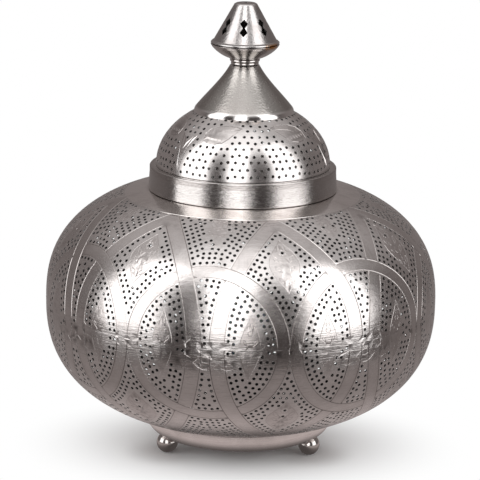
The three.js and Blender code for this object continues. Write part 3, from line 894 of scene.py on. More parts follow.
@dataclass
class PiercedSheet:
    """A raised metal sheet with holes punched through it and lines cut into its face."""

    curve: SheetCurve
    wall: float = 0.8
    rim_steps: int = 240
    spacing: float = 6.5
    clearance: float = 2.1
    round_holes: bool = True
    holes: list[Array] = field(default_factory=list)
    strokes: list[Stroke] = field(default_factory=list)
    patina_depth: float = 0.3

    def _rims(self, drawing: FlatDrawing) -> list[list[int]]:
        """Draws the wide and the narrow edge, the narrow one as a hole.

        Args:
            drawing: the drawing that they go into.

        Returns:
            Each edge's point numbers.
        """
        rims = [drawing.points(level_ring(reach, self.rim_steps)) for reach in (0.0, self.curve.length)]
        drawing.line(rims[0], True)
        drawing.holes.append(rims[1])
        return rims

    def _stroke_lines(self, drawing: FlatDrawing, stroke: Stroke) -> None:
        """Draws a stroke's middle and its two edges, brought together at open ends.

        Args:
            drawing: the drawing that they go into.
            stroke: the stroke.
        """
        marks = stroke.points
        across = sideways(marks, self.curve.radius(marks[:, 1]), stroke.closed, stroke.half_width)
        middle = drawing.points(marks)
        drawing.line(middle, stroke.closed)
        for side in (1.0, -1.0):
            if stroke.closed:
                drawing.line(drawing.points(marks + side * across), True)
            elif len(marks) > 2:
                edge = drawing.points((marks + side * across)[1:-1])
                drawing.line([middle[0]] + edge + [middle[-1]], False)

    def _sinks(self, marks: Array) -> Array:
        """The depth of the engraving at each mark.

        Args:
            marks: an angle and a reach each.

        Returns:
            The depths in mm.
        """
        sinks = np.zeros(len(marks))
        places, sizes = [], []
        for stroke in self.strokes:
            ends = self.curve.places(stroke.line)
            for a, b in zip(ends, ends[1:]):
                count = max(2, int(np.linalg.norm(b - a) / STROKE_SAMPLE))
                places.append(a + (b - a) * np.linspace(0.0, 1.0, count)[:, None])
                sizes += [(stroke.half_width, stroke.depth)] * count
        if places:
            tree = search_tree(np.concatenate(places))
            for number, place in enumerate(self.curve.places(marks)):
                _, nearest, distance = tree.find(place)
                half_width, depth = sizes[nearest]
                sinks[number] = depth * max(0.0, 1.0 - distance / half_width)
        sinks[sinks < LEAST_SINK] = 0.0
        return sinks

    def _loose_points(self, drawing: FlatDrawing, spacing: float) -> None:
        """Scatters even rows of points wherever no line or hole is close.

        Args:
            drawing: the drawing to fill.
            spacing: the distance between the points.
        """
        tree = search_tree(self.curve.places(np.concatenate(drawing.marks)))
        rows = max(2, round(self.curve.length / spacing))
        kept = []
        for row in range(1, rows):
            reach = self.curve.length * row / rows
            count = max(12, round(FULL_TURN * float(self.curve.radius(reach)) / spacing))
            angles = FULL_TURN * (np.arange(count) + 0.5 * (row % 2)) / count
            marks = columns(angles, np.full(count, reach))
            for mark, place in zip(marks, self.curve.places(marks)):
                if tree.find(place)[2] > self.clearance:
                    kept.append(mark)
        if kept:
            drawing.points(np.array(kept))

    def build(self, name: str) -> Piece:
        """Makes the sheet as one closed piece.

        Args:
            name: the piece's name.

        Returns:
            The piece, ready for its two finishes.
        """
        face_marks, outside, face_rings = self._laid_out(self.strokes, self.spacing)
        back_marks, lining, back_rings = self._laid_out([], self.spacing * 2)
        sink = self._sinks(face_marks)
        for ring in face_rings:
            sink[ring] = 0.0
        points = np.concatenate([self.curve.places(face_marks, sink),
                                 self.curve.places(back_marks, self.wall)])
        outside, lining = self._wound(outside), self._wound(lining[:, ::-1])
        smooth = self.curve.normals(face_marks)[outside]
        cut = sink[outside].max(1) > 0.0
        smooth[cut] = flat_normals(points, outside[cut])[:, None, :]
        normals = [smooth.reshape(-1, 3), -self.curve.normals(back_marks)[lining].reshape(-1, 3)]
        faces = outside.tolist() + (lining + len(face_marks)).tolist()
        for number in [*range(1, len(face_rings)), 0]:
            near, far = face_rings[number], back_rings[number] + len(face_marks)
            quads = columns(near, np.roll(near, -1), np.roll(far, -1), far)
            quads = self._wound(quads if number else quads[:, [0, 3, 2, 1]])
            if self.round_holes and number > 1:
                inward = points[near].mean(0) - points[near]
                inward /= np.linalg.norm(inward, axis=1)[:, None]
                after = np.roll(inward, -1, 0)
                smooth = self._wound(columns(inward, after, after, inward))
            else:
                smooth = np.repeat(flat_normals(points, quads)[:, None, :], 4, 1)
            faces += quads.tolist()
            normals.append(smooth.reshape(-1, 3))
        mesh = bpy.data.meshes.new(name)
        mesh.from_pydata((points * MM).tolist(), [], faces)
        mesh.polygons.foreach_set("use_smooth", np.ones(len(faces), bool))
        mesh.update()
        mesh.normals_split_custom_set(np.concatenate(normals).tolist())
        patina = np.concatenate([np.clip((sink - CLEAN_SINK) / self.patina_depth, 0.0, 1.0),
                                 np.zeros(len(back_marks))])
        mesh.attributes.new(PATINA, "FLOAT", "POINT").data.foreach_set("value", patina)
        self._line_inside(mesh, len(outside), len(lining))
        piece = bpy.data.objects.new(name, mesh)
        bpy.context.scene.collection.objects.link(piece)
        return piece

    def _laid_out(self, strokes: Sequence[Stroke],
                  spacing: float) -> tuple[Array, Array, list[Array]]:
        """Lays one side of the sheet out flat and fills it.

        Args:
            strokes: the lines cut into this side.
            spacing: the distance between its loose points.

        Returns:
            The marks of its corners, its triangles, and the corners of its two rims and of every hole.
        """
        drawing = FlatDrawing()
        rims = self._rims(drawing)
        rings = [drawing.points(hole) for hole in self.holes]
        drawing.holes += rings
        for stroke in strokes:
            self._stroke_lines(drawing, stroke)
        self._loose_points(drawing, spacing)
        marks, triangles, where = drawing.mesh(self.curve)
        return marks, triangles, [where[ring] for ring in rims + rings]

    def _wound(self, corners: Array) -> Array:
        """The corners of faces, turned over on a sheet that faces down."""
        return corners if self.curve.faces_up else corners[:, ::-1]

    def _line_inside(self, mesh: bpy.types.Mesh, outer: int, inner: int) -> None:
        """Gives the inside, and the walls of most holes, the second finish, which paints them in near-black
        shade.

        Args:
            mesh: the sheet's mesh.
            outer: the number of faces outside.
            inner: the number of faces inside.
        """
        slots = np.zeros(len(mesh.polygons), np.int32)
        slots[outer:outer + inner] = 1
        first_hole = outer + inner + self.rim_steps
        holes = np.arange(len(slots) - first_hole) // len(self.holes[0])
        slots[first_hole:] = holes % BRIGHT_WALL_EVERY != 0
        mesh.polygons.foreach_set("material_index", slots)


def flat_normals(points: Array, faces: Array) -> Array:
    """The direction of each flat face."""
    cross = np.cross(points[faces[:, 1]] - points[faces[:, 0]], points[faces[:, 2]] - points[faces[:, 0]])
    return cross / np.maximum(np.linalg.norm(cross, axis=1), 1e-12)[:, None]


# Ornament


def drawn(points: Sequence[Point]) -> Array:
    """Points of a drawing as an array."""
    return np.array(points, float)


def leaf(width: float, rise: float, drop: float, steps: int = 12, point: float = 1.25) -> Array:
    """The outline of an upright pointed leaf round its middle.

    Args:
        width: half its width.
        rise: its height over the middle.
        drop: its depth under the middle.
        steps: the chords of each side.
        point: how sharp its ends are.

    Returns:
        The closed outline.
    """
    along = np.linspace(0.0, 1.0, steps + 1)
    half = width * np.sin(math.pi * along) ** point
    height = -drop + (rise + drop) * along
    right = columns(half, height)
    return np.concatenate([right, right[-2:0:-1] * (-1.0, 1.0)])


def turned_shape(shape: Array, middle: Point, degrees: float) -> Array:
    """A drawing turned and moved to its place.

    Args:
        shape: the drawing.
        middle: its place.
        degrees: its turn.

    Returns:
        The moved drawing.
    """
    turn_by = math.radians(degrees)
    across, along = shape[:, 0], shape[:, 1]
    return columns(middle[0] + across * math.cos(turn_by) - along * math.sin(turn_by),
                   middle[1] + across * math.sin(turn_by) + along * math.cos(turn_by))


def petal(middle: Point, length: float, width: float, degrees: float) -> Array:
    """A small leaf turned to lie along a stem."""
    return turned_shape(leaf(width / 2, length / 2, length / 2, 5, 0.9), middle, degrees)


def rosette(middle: Point, radius: float, petals: int, dip: float = 0.22) -> Array:
    """A round flower outline with scalloped petals."""
    turns = even_turns(petals * 4)
    reach = radius * (1.0 - dip + dip * np.abs(np.cos(turns * petals / 2)))
    return columns(middle[0] + reach * np.cos(turns), middle[1] + reach * np.sin(turns))


@dataclass
class Motif:
    """One engraved ornament, drawn in mm round its middle."""

    loops: list[Array] = field(default_factory=list)
    lines: list[Array] = field(default_factory=list)
    clear: list[Array] = field(default_factory=list)
    dots: list[Point] = field(default_factory=list)
    dashes: list[Array] = field(default_factory=list)

    def turned(self, degrees: float, scale: float, mirror: bool = False) -> "Motif":
        """A copy turned, scaled and perhaps mirrored.

        Args:
            degrees: the turn.
            scale: the size of the copy.
            mirror: whether left and right change places.

        Returns:
            The copy.
        """
        flip = drawn([(-scale if mirror else scale, scale)])

        def move(shape: Array) -> Array:
            """Moves one drawing."""
            return turned_shape(shape * flip, (0.0, 0.0), degrees)

        dots = move(drawn(self.dots)).tolist() if self.dots else []
        loops, lines, clear, dashes = ([move(shape) for shape in shapes] for shapes in
                                       (self.loops, self.lines, self.clear, self.dashes))
        return Motif(loops, lines, clear, dots, dashes)


def dash(middle: Point, length: float, degrees: float) -> Array:
    """One short cut of the graver."""
    along = drawn([(0.0, -length / 2), (length * 0.03, 0.0), (0.0, length / 2)])
    return turned_shape(along, middle, degrees)


def leaf_medallion(width: float, rise: float, drop: float, full: bool = True) -> Motif:
    """A plain pointed leaf with a flowering stem cut into it, full or sparse.

    Args:
        width: half the leaf's width.
        rise: its height over the middle.
        drop: its depth under the middle.
        full: whether it has all its small leaves.

    Returns:
        The motif.
    """
    outline = leaf(width, rise, drop)
    size = (rise + drop) / 52.0
    stem = drawn([(0.0, -drop * 0.82), (0.5 * size, -drop * 0.5), (-0.3 * size, -drop * 0.2)])
    heart = (0.0, rise * 0.46)
    motif = Motif([outline, rosette(heart, width * 0.27, 6)], [stem], [outline], [(0.0, 0.6), heart])
    leaves = ((-0.58, 0.3, 38.0), (-0.16, 0.44, 48.0), (0.2, 0.5, 30.0))
    for level, reach, lean in leaves if full else leaves[2:]:
        for side in (-1.0, 1.0):
            middle = (side * width * reach, level * (drop if level < 0 else rise))
            motif.loops.append(petal(middle, width * 0.62, width * 0.24, -side * lean))
            below = (middle[0] * 0.5, middle[1] - 3.0 * size)
            motif.dashes.append(dash(below, width * 0.34, -side * (lean + 8.0)))
    for level in (0.68, 0.76):
        for side in (-1.0, 1.0):
            motif.lines.append(drawn([(side * width * out, rise * (level - fall))
                                      for out, fall in ((0.05, 0.0), (0.16, 0.08), (0.27, 0.1))]))
    return motif


def flower_on_stem(radius: float) -> Motif:
    """A round flower over a stem with two leaves.

    Args:
        radius: the flower's radius.

    Returns:
        The motif.
    """
    ring = rosette((0.0, 0.0), radius, 8)
    heart = rosette((0.0, 0.0), radius * 0.42, 5, 0.1)
    stem = drawn([(0.0, -radius * 1.12), (-radius * 0.14, -radius * 1.9), (radius * 0.05, -radius * 2.7)])
    motif = Motif([ring, heart], [stem], [rosette((0.0, 0.0), radius * 1.1, 8, 0.0)])
    for side in (-1.0, 1.0):
        middle = (side * radius * 0.72, -radius * 1.75)
        motif.loops.append(petal(middle, radius * 1.1, radius * 0.4, -side * 42.0))
    for turn_by in range(0, 360, 45):
        along = drawn([(radius * 0.52, 0.0), (radius * 0.63, 0.05), (radius * 0.74, 0.0)])
        motif.lines.append(turned_shape(along, (0.0, 0.0), turn_by + 22.5))
    return motif


def seam_spray(length: float) -> Motif:
    """A pointed oval flower under the seam, with single curved cuts for its leaves on either hand.

    Args:
        length: the flower's length.

    Returns:
        The motif.
    """
    motif = Motif([petal((0.0, -11.5), length, length * 0.58, 90.0)])
    motif.dashes += [dash((reach, -11.5), 3.0, lean)
                     for reach, lean in ((-3.6, 24.0), (0.6, -12.0), (4.4, 30.0))]
    for side in (-1.0, 1.0):
        for cut in (((2.5, -4.6), (5.6, 0.6), (11.0, 4.4)), ((11.4, -8.2), (18.0, -4.4), (26.5, -6.6)),
                    ((12.0, -14.8), (19.0, -17.2), (26.0, -15.4)), ((13.0, 10.0), (18.5, 3.8), (28.0, 1.4))):
            motif.lines.append(drawn([(side * across, up) for across, up in cut]))
        motif.dashes.append(dash((side * 21.0, -10.8), 5.4, side * 84.0))
    angles = even_turns(24)
    motif.clear.append(columns(25.0 * np.cos(angles), 9.5 * np.sin(angles) - 9.0))
    return motif


def inside(shape: Array, across: float, along: float) -> bool:
    """Whether a point lies inside a closed drawing.

    Args:
        shape: the closed drawing.
        across: the point's place sideways.
        along: the point's height.

    Returns:
        True for a point inside.
    """
    after = np.roll(shape, -1, 0)
    spans = (shape[:, 1] > along) != (after[:, 1] > along)
    if not spans.any():
        return False
    a, b = shape[spans], after[spans]
    crossing = a[:, 0] + (along - a[:, 1]) * (b[:, 0] - a[:, 0]) / (b[:, 1] - a[:, 1])
    return bool(np.count_nonzero(crossing > across) % 2)


class DotField:
    """Punched holes that keep their distance from each other and from the engraved lines."""

    def __init__(self, gap: float) -> None:
        """Starts an empty field with the least gap between middles."""
        self.gap = gap
        self.cells: dict[tuple[int, int, int], list[Array]] = {}
        self.marks: list[Point] = []

    def _cell(self, place: Array) -> tuple[int, int, int]:
        """The cell of space that a place falls in."""
        return tuple(int(math.floor(value / self.gap)) for value in place)

    def free(self, place: Array) -> bool:
        """Whether no hole lies within the gap of a place."""
        around = product(*((value - 1, value, value + 1) for value in self._cell(place)))
        steps = (other - place for cell in around for other in self.cells.get(cell, ()))
        return all(np.dot(step, step) >= self.gap * self.gap for step in steps)

    def add(self, mark: Point, place: Array) -> None:
        """Punches one hole."""
        self.cells.setdefault(self._cell(place), []).append(place)
        self.marks.append(mark)


@dataclass
class PlacedMotif:
    """A motif with its middle on the sheet."""

    motif: Motif
    angle: float
    level: float
    depth: float = 0.1


# No plain ground reaches further than this from the middle of its motif, in mm
MOTIF_REACH = 40.0
Cuts = tuple[Point, Point, Point]


@dataclass
class Ornament:
    """What the drawings of the body and of the dome share."""

    upper: SheetCurve
    lower: SheetCurve
    seed: int = 7
    dot_radius: float = 1.45
    dot_margin: float = 0.75
    cuts: Cuts = ((0.28, 0.0), (0.32, 0.0), (0.3, 0.13))

    def __post_init__(self) -> None:
        """Starts the random draws and places the motifs."""
        self.random = random.Random(self.seed)
        self.motifs = list(self._motifs())

    def _motifs(self) -> Iterator[PlacedMotif]:
        """The ornaments on the plain grounds, which each drawing gives for itself."""
        raise NotImplementedError

    def radius(self, level: Array) -> Array:
        """The radius at a level along the curves, upward from where they meet."""
        return np.where(level >= 0, self.upper.radius(level), self.lower.radius(-level))

    def places(self, marks: Array) -> Array:
        """The points of the sheets at marks, each an angle and a level."""
        high = self.upper.places(columns(marks[:, 0], np.maximum(marks[:, 1], 0.0)))
        low = self.lower.places(columns(marks[:, 0], np.maximum(-marks[:, 1], 0.0)))
        return np.where(marks[:, 1:2] >= 0, high, low)

    def marks_of(self, placed: PlacedMotif, shape: Array) -> Array:
        """The marks of a motif's drawing on the sheet."""
        level = placed.level + shape[:, 1]
        return columns(placed.angle + shape[:, 0] / self.radius(level), level)

    def motif_strokes(self) -> list[Stroke]:
        """The cuts of every motif; those with no depth of their own take the motif's.

        Returns:
            The strokes, with levels in place of reaches.
        """
        found = []
        for placed in self.motifs:
            motif = placed.motif
            for shapes, (half_width, depth) in zip((motif.loops, motif.lines, motif.dashes), self.cuts):
                found += [Stroke(self.marks_of(placed, shape), shapes is motif.loops, half_width,
                                 depth or placed.depth) for shape in shapes]
        return found

    def punch(self, found: DotField, mark: Array, lines: kdtree.KDTree, radius: float) -> None:
        """Punches one hole unless a line, a hole or a plain ground is in its way.

        Args:
            found: the holes so far.
            mark: the angle and level to try.
            lines: the engraved lines.
            radius: the sheet's radius there.
        """
        place = self.places(mark[None])[0]
        if lines.find(place)[2] < self.dot_radius + self.dot_margin or not found.free(place):
            return
        for placed in self.motifs:
            across, along = wrapped(mark[0] - placed.angle) * radius, mark[1] - placed.level
            if max(abs(across), abs(along)) < MOTIF_REACH and any(
                    inside(shape, across, along) for shape in placed.motif.clear):
                return
        found.add((float(mark[0]), float(mark[1])), place)


@dataclass
class BodyOrnament(Ornament):
    """The drawing engraved and pierced round the body: linked rings, ogives, leaves and flowers."""

    front_axis: float = 13.9
    front_pitch: float = 47.0
    axis_count: int = 8
    ring_reach: float = 71.0
    ring_band: float = 10.5
    ring_points: int = 420
    ogive_band: float = 12.5
    ogive_tip: float = 120.5
    ogive_overrun: float = 9.0
    ogive_points: int = 300
    crossing_lap: float = 0.2
    strip: float = 7.0
    top_line: float = 131.5
    foot_line: float = -148.0
    band_cut: Point = (0.4, 0.22)
    band_step: float = 3.4
    rim_cut: Point = (0.36, 0.2)
    rim_points: int = 150
    motif_lean: float = 3.5
    motif_scale: Point = (0.95, 1.04)
    side_leaf: float = 0.262
    seam_gap: float = 0.35
    dot_step: float = 5.2
    dot_gap: float = 4.2
    dot_jitter: Point = (0.3, 0.35)
    jitter_radius: float = 150.0
    heart_margin: float = 0.6
    heart_seam: float = 2.0
    seam_row: float = 1.9
    edge_row: float = 3.0
    row_stray: float = 1.1
    first_row: float = 2.8
    row_step: float = 4.75
    row_count: int = 9
    neck_rows: Point = (3.6, 104.0)

    def __post_init__(self) -> None:
        """Sets out the axes and draws the bands and motifs."""
        rest = (360.0 - 2 * self.front_pitch) / (self.axis_count - 2)
        degrees = [self.front_axis - self.front_pitch, self.front_axis]
        degrees += [self.front_axis + self.front_pitch + rest * n for n in range(self.axis_count - 2)]
        self.axes = [math.radians(value) for value in degrees]
        self.rings = [self._ring(number) for number in range(self.axis_count)]
        self.ogives = [self._ogive(number, side) for number in range(self.axis_count)
                       for side in (-1.0, 1.0)]
        self.ring_tree = search_tree(np.concatenate([self.places(ring) for ring in self.rings]))
        self.ogive_tree = search_tree(np.concatenate([self.places(ogive) for ogive in self.ogives]))
        super().__post_init__()

    def _gap(self, number: int) -> tuple[float, float]:
        """The angles of an axis and of the next one."""
        start = self.axes[number % self.axis_count]
        end = self.axes[(number + 1) % self.axis_count]
        return start, end if end > start else end + FULL_TURN

    def _ring(self, number: int) -> Array:
        """The middle line of the ring between two axes.

        Args:
            number: the first of the two axes.

        Returns:
            The marks of the line.
        """
        start, end = self._gap(number)
        half = self.ring_band / 2
        turns = even_turns(self.ring_points)
        across = (end - start) / 2 - half / float(self.upper.radii[0])
        return columns((start + end) / 2 + across * np.cos(turns), (self.ring_reach - half) * np.sin(turns))

    def _ogive(self, number: int, side: float) -> Array:
        """The middle line of one side of the ogive on an axis.

        Args:
            number: the axis.
            side: minus one for the left, one for the right.

        Returns:
            The marks of the line.
        """
        start, end = self._gap(number if side > 0 else number - 1)
        belly = float(self.upper.radii[0])
        width = (end - start) / 2 * belly - self.strip / 2 - self.ogive_band / 2
        bow = (width ** 2 + self.ogive_tip ** 2) / (2 * width)
        last = self.ogive_tip + self.ogive_overrun
        level = np.linspace(-last, last, self.ogive_points)
        across = np.sqrt(bow ** 2 - level ** 2) - (bow - width)
        return columns(self.axes[number] + side * across / belly, level)

    def offset(self, marks: Array, distance: float, closed: bool) -> Array:
        """A line moved sideways by a distance on the sheet."""
        return marks + sideways(marks, self.radius(marks[:, 1]), closed, distance)

    def spaced(self, marks: Array, step: float, closed: bool = False) -> Array:
        """Points at even steps along a line.

        Args:
            marks: the line's points.
            step: the length of a step in mm.
            closed: whether the line's ends meet.

        Returns:
            The new points.
        """
        line = np.vstack([marks, marks[:1]]) if closed else marks
        lengths = np.linalg.norm(np.diff(self.places(line), axis=0), axis=1)
        reach = np.concatenate([[0.0], np.cumsum(lengths)])
        count = max(3, round(reach[-1] / step))
        at = np.linspace(0.0, reach[-1], count, endpoint=not closed)
        return columns(np.interp(at, reach, line[:, 0]), np.interp(at, reach, line[:, 1]))

    def _ring_over(self, mark: Array) -> bool:
        """Whether a ring passes over an ogive at a crossing near a mark."""
        middles = [sum(self._gap(number)) / 2 for number in range(self.axis_count)]
        return min((wrapped(mark[0] - middle) for middle in middles), key=abs) * mark[1] > 0

    def _under(self, edge: Array, tree: kdtree.KDTree, band: float, ring_over: bool) -> Array:
        """Which points of a band's edge lie under a band that crosses it."""
        return np.array([tree.find(place)[2] < band / 2 - self.crossing_lap
                         and self._ring_over(mark) == ring_over
                         for mark, place in zip(edge, self.places(edge))])

    def band_lines(self) -> Iterator[Array]:
        """The engraved edges of the bands, broken where one passes under another.

        Returns:
            The unbroken stretches, one at a time.
        """
        for ring in self.rings:
            for side in (-1.0, 1.0):
                edge = self.offset(ring, side * self.ring_band / 2, True)
                yield from runs(edge, ~self._under(edge, self.ogive_tree, self.ogive_band, False), True)
        for index, ogive in enumerate(self.ogives):
            axis, own = self.axes[index // 2], (-1.0, 1.0)[index % 2]
            for side in (-1.0, 1.0):
                edge = self.offset(ogive, side * self.ogive_band / 2, False)
                kept = ~self._under(edge, self.ring_tree, self.ring_band, True)
                kept &= (own * (edge[:, 0] - axis) >= 0) & (edge[:, 1] < self.top_line)
                yield from runs(edge, kept & (edge[:, 1] > self.foot_line), False)

    def _motifs(self) -> Iterator[PlacedMotif]:
        """The ornaments in the panels, each a little different.

        Returns:
            The motifs, one at a time.
        """
        for number, axis in enumerate(self.axes):
            start, end = self._gap(number)
            middle, side_step = (start + end) / 2, (end - start) * self.side_leaf
            plan = [(leaf_medallion(13.2, 26.0, 26.0), axis, 72.5, 0.11),
                    (flower_on_stem(6.6), middle, 116.5, 0.09),
                    (leaf_medallion(14.5, 20.0, 25.0), axis, -68.0, 0.09),
                    (seam_spray(21.0), middle, -1.0, 0.09),
                    (leaf_medallion(8.6, 29.0, 27.0, False), middle - side_step, 1.0, 0.06),
                    (leaf_medallion(8.6, 29.0, 27.0, False), middle + side_step, 1.0, 0.06)]
            for motif, angle, level, depth in plan:
                lean = self.random.uniform(-self.motif_lean, self.motif_lean)
                scale = self.random.uniform(*self.motif_scale)
                yield PlacedMotif(motif.turned(lean, scale, self.random.random() < 0.5), angle, level, depth)

    def strokes(self) -> list[Stroke]:
        """Every engraved line of the body, with levels in place of reaches.

        Returns:
            The bands, the two level lines and the motifs.
        """
        found = [Stroke(self.spaced(line, self.band_step), False, *self.band_cut)
                 for line in self.band_lines() if len(line) > 4]
        found += [Stroke(level_ring(level, self.rim_points), True, *self.rim_cut)
                  for level in (self.top_line, self.foot_line)]
        return found + self.motif_strokes()

    def halves(self, strokes: Sequence[Stroke]) -> tuple[list[Stroke], list[Stroke]]:
        """Shares the strokes between the two sheets, broken at the seam.

        Args:
            strokes: lines with levels.

        Returns:
            The strokes of the upper and of the lower sheet, with reaches.
        """
        shares: tuple[list[Stroke], list[Stroke]] = ([], [])
        for stroke in strokes:
            for share, side in zip(shares, (1.0, -1.0)):
                marks = stroke.points * (1.0, side)
                kept = marks[:, 1] > self.seam_gap
                if kept.all():
                    share.append(replace(stroke, points=marks))
                elif kept.any():
                    share += [replace(stroke, points=run, closed=False)
                              for run in runs(marks, kept, stroke.closed) if len(run) > 2]
        return shares

    def dots(self, strokes: Sequence[Stroke]) -> list[Point]:
        """The punched holes, in rows that follow the bands.

        Args:
            strokes: the engraved lines to keep clear of.

        Returns:
            The angle and level of each hole.
        """
        lines = [self.places(self.spaced(stroke.points, LINE_SAMPLE, stroke.closed)) for stroke in strokes]
        line_tree = search_tree(np.concatenate(lines))
        found = DotField(self.dot_gap)
        for placed in self.motifs:
            for dot in placed.motif.dots:
                mark = self.marks_of(placed, drawn([dot]))[0]
                place = self.places(mark[None])[0]
                apart = line_tree.find(place)[2] > self.dot_radius + self.heart_margin
                if apart and abs(mark[1]) > self.heart_seam:
                    found.add((float(mark[0]), float(mark[1])), place)
        bands = [(ring, self.ring_band, True) for ring in self.rings]
        bands += [(ogive, self.ogive_band, False) for ogive in self.ogives]
        for row in range(self.row_count):
            away = self.first_row + row * self.row_step
            for middle, width, closed in bands:
                for side in (-1.0, 1.0):
                    line = self.offset(middle, side * (width / 2 + away), closed)
                    self._punch_row(found, self.spaced(line, self.dot_step, closed), away, line_tree)
        for level in np.arange(self.top_line - self.neck_rows[0], self.neck_rows[1], -self.row_step):
            count = int(FULL_TURN * float(self.radius(level)) / self.dot_step)
            self._punch_row(found, level_ring(level, count), None, line_tree)
        return found.marks

    def _punch_row(self, found: DotField, row: Array, away: Optional[float],
                   line_tree: kdtree.KDTree) -> None:
        """Punches the holes of one row wherever there is room.

        Args:
            found: the holes so far.
            row: the marks to try.
            away: the row's distance from the nearest band, or None in a row round the neck.
            line_tree: the engraved lines.
        """
        turn_by, rise = self.dot_jitter
        for mark in row:
            mark = mark + (self.random.uniform(-turn_by, turn_by) / self.jitter_radius,
                           self.random.uniform(-rise, rise))
            if abs(mark[1]) < self.seam_row:
                mark[1] = math.copysign(self.seam_row, mark[1])
            if not self.foot_line + self.edge_row < mark[1] < self.top_line - self.edge_row:
                continue
            place = self.places(mark[None])[0]
            near = min(self.ring_tree.find(place)[2] - self.ring_band / 2,
                       self.ogive_tree.find(place)[2] - self.ogive_band / 2)
            stray = near < self.first_row if away is None else abs(near - away) > self.row_stray
            if not stray:
                self.punch(found, mark, line_tree, float(self.radius(mark[1])))


def runs(marks: Array, kept: Array, closed: bool) -> list[Array]:
    """The unbroken stretches of a line.

    Args:
        marks: the line's points.
        kept: which of them stay.
        closed: whether the line's ends meet.

    Returns:
        One array for each stretch.
    """
    if not kept.any():
        return []
    if closed:
        if kept.all():
            return [np.vstack([marks, marks[:1]])]
        first = int(np.argmin(kept))
        marks, kept = np.roll(marks, -first, 0), np.roll(kept, -first)
    breaks = np.flatnonzero(np.diff(kept.astype(int)))
    return [part for part in np.split(marks, breaks + 1)[0 if kept[0] else 1::2] if len(part) > 1]


def punched(curve: SheetCurve, mark: Point, radius: float, sides: int = 8) -> Array:
    """The outline of a round hole on a sheet."""
    turns = (np.arange(sides) + 0.5) * FULL_TURN / sides
    return curve.shape(mark[0], mark[1], columns(np.cos(turns), np.sin(turns)) * radius)


@dataclass
class DomeOrnament(Ornament):
    """The rows of holes and the plain leaves of the dome."""

    first_row: float = 4.4
    row_step: float = 6.1
    dot_step: float = 6.5
    dot_radius: float = 1.4
    dot_margin: float = 0.8
    dot_jitter: Point = (0.7, 0.8)
    gap_share: float = 0.72
    leaf_count: int = 6
    leaf_level: float = 41.5
    leaf_depth: float = 0.2
    front_gap: float = 12.0
    tick_count: int = 5
    tick_step: float = 3.4
    wedge_level: float = 22.0
    wedge_depth: float = 0.03
    cuts: Cuts = ((0.34, 0.0), (0.3, 0.15), (0.3, 0.15))
    line_parts: int = 8
    top: float = 64.0
    seed: int = 11

    def _motifs(self) -> Iterator[PlacedMotif]:
        """Plain leaves in mirrored pairs, with a wedge between the pairs.

        Returns:
            The motifs, one at a time.
        """
        outline = drawn([(15.5, 8.4), (10.0, 10.4), (3.0, 11.0), (-5.0, 9.8), (-11.5, 6.4), (-15.6, 0.6),
                         (-16.6, -6.2), (-12.0, -8.6), (-5.0, -9.2), (1.5, -7.6), (6.0, -3.6), (9.6, 1.2),
                         (13.0, 5.6)])
        ticks = []
        for n in range(self.tick_count):
            along = self.tick_step * n
            ticks.append(drawn([(-13.4 + along, -4.6 - 0.5 * n), (-13.0 + along, -2.8 - 0.4 * n),
                                (-12.3 + along, -0.8)]))
        vein = drawn([(13.0, 7.2), (6.5, 6.2), (-1.0, 4.4), (-7.0, 1.8)])
        wedge = drawn([(-9.0, 17.0), (-4.4, 4.0), (0.0, -17.0), (4.4, 4.0), (9.0, 17.0), (5.5, 15.0),
                       (0.0, 2.0), (-5.5, 15.0)])
        for number in range(self.leaf_count):
            angle = math.radians(self.front_gap + 360.0 * (number + 0.5) / self.leaf_count)
            motif = Motif([outline], ticks + [vein], [outline])
            motif = motif.turned(0.0, 1.0, number % 2 == 0)
            yield PlacedMotif(motif, angle, self.leaf_level, self.leaf_depth)
            if number % 2 == 0:
                between = math.radians(self.front_gap + 360.0 * (number + 1) / self.leaf_count)
                yield PlacedMotif(Motif([wedge], [], [wedge]), between, self.wedge_level, self.wedge_depth)

    def dots(self, strokes: Sequence[Stroke]) -> list[Point]:
        """The holes, in level rows that leave the leaves plain.

        Args:
            strokes: the engraved lines to keep clear of.

        Returns:
            The angle and reach of each hole.
        """
        shares = np.linspace(0, 1, self.line_parts)[:, None]
        dense = [a + (b - a) * shares for stroke in strokes for a, b in zip(stroke.line, stroke.line[1:])]
        tree = search_tree(self.places(np.concatenate(dense)))
        found = DotField(self.dot_step * self.gap_share)
        turn_by, rise = self.dot_jitter
        for row in range(math.ceil((self.top - self.first_row) / self.row_step)):
            reach = self.first_row + row * self.row_step
            radius = float(self.radius(reach))
            count = round(FULL_TURN * radius / self.dot_step)
            for number in range(count):
                angle = FULL_TURN * (number + 0.5 * (row % 2)) / count
                angle += self.random.uniform(-turn_by, turn_by) / radius
                self.punch(found, np.array((angle, reach + self.random.uniform(-rise, rise))), tree, radius)
        return found.marks


# Sub-assemblies

# The radius of the rod's holes in mm, and the scale that brings the peak of p * p * (1 - p) to one
ROD_HOLE = 4.0
LOW_SAG = 6.75

# The points along the finial cap's curve, and how many of them lie below its flat top
CAP_POINTS = 500
CAP_SIDE_POINTS = 420


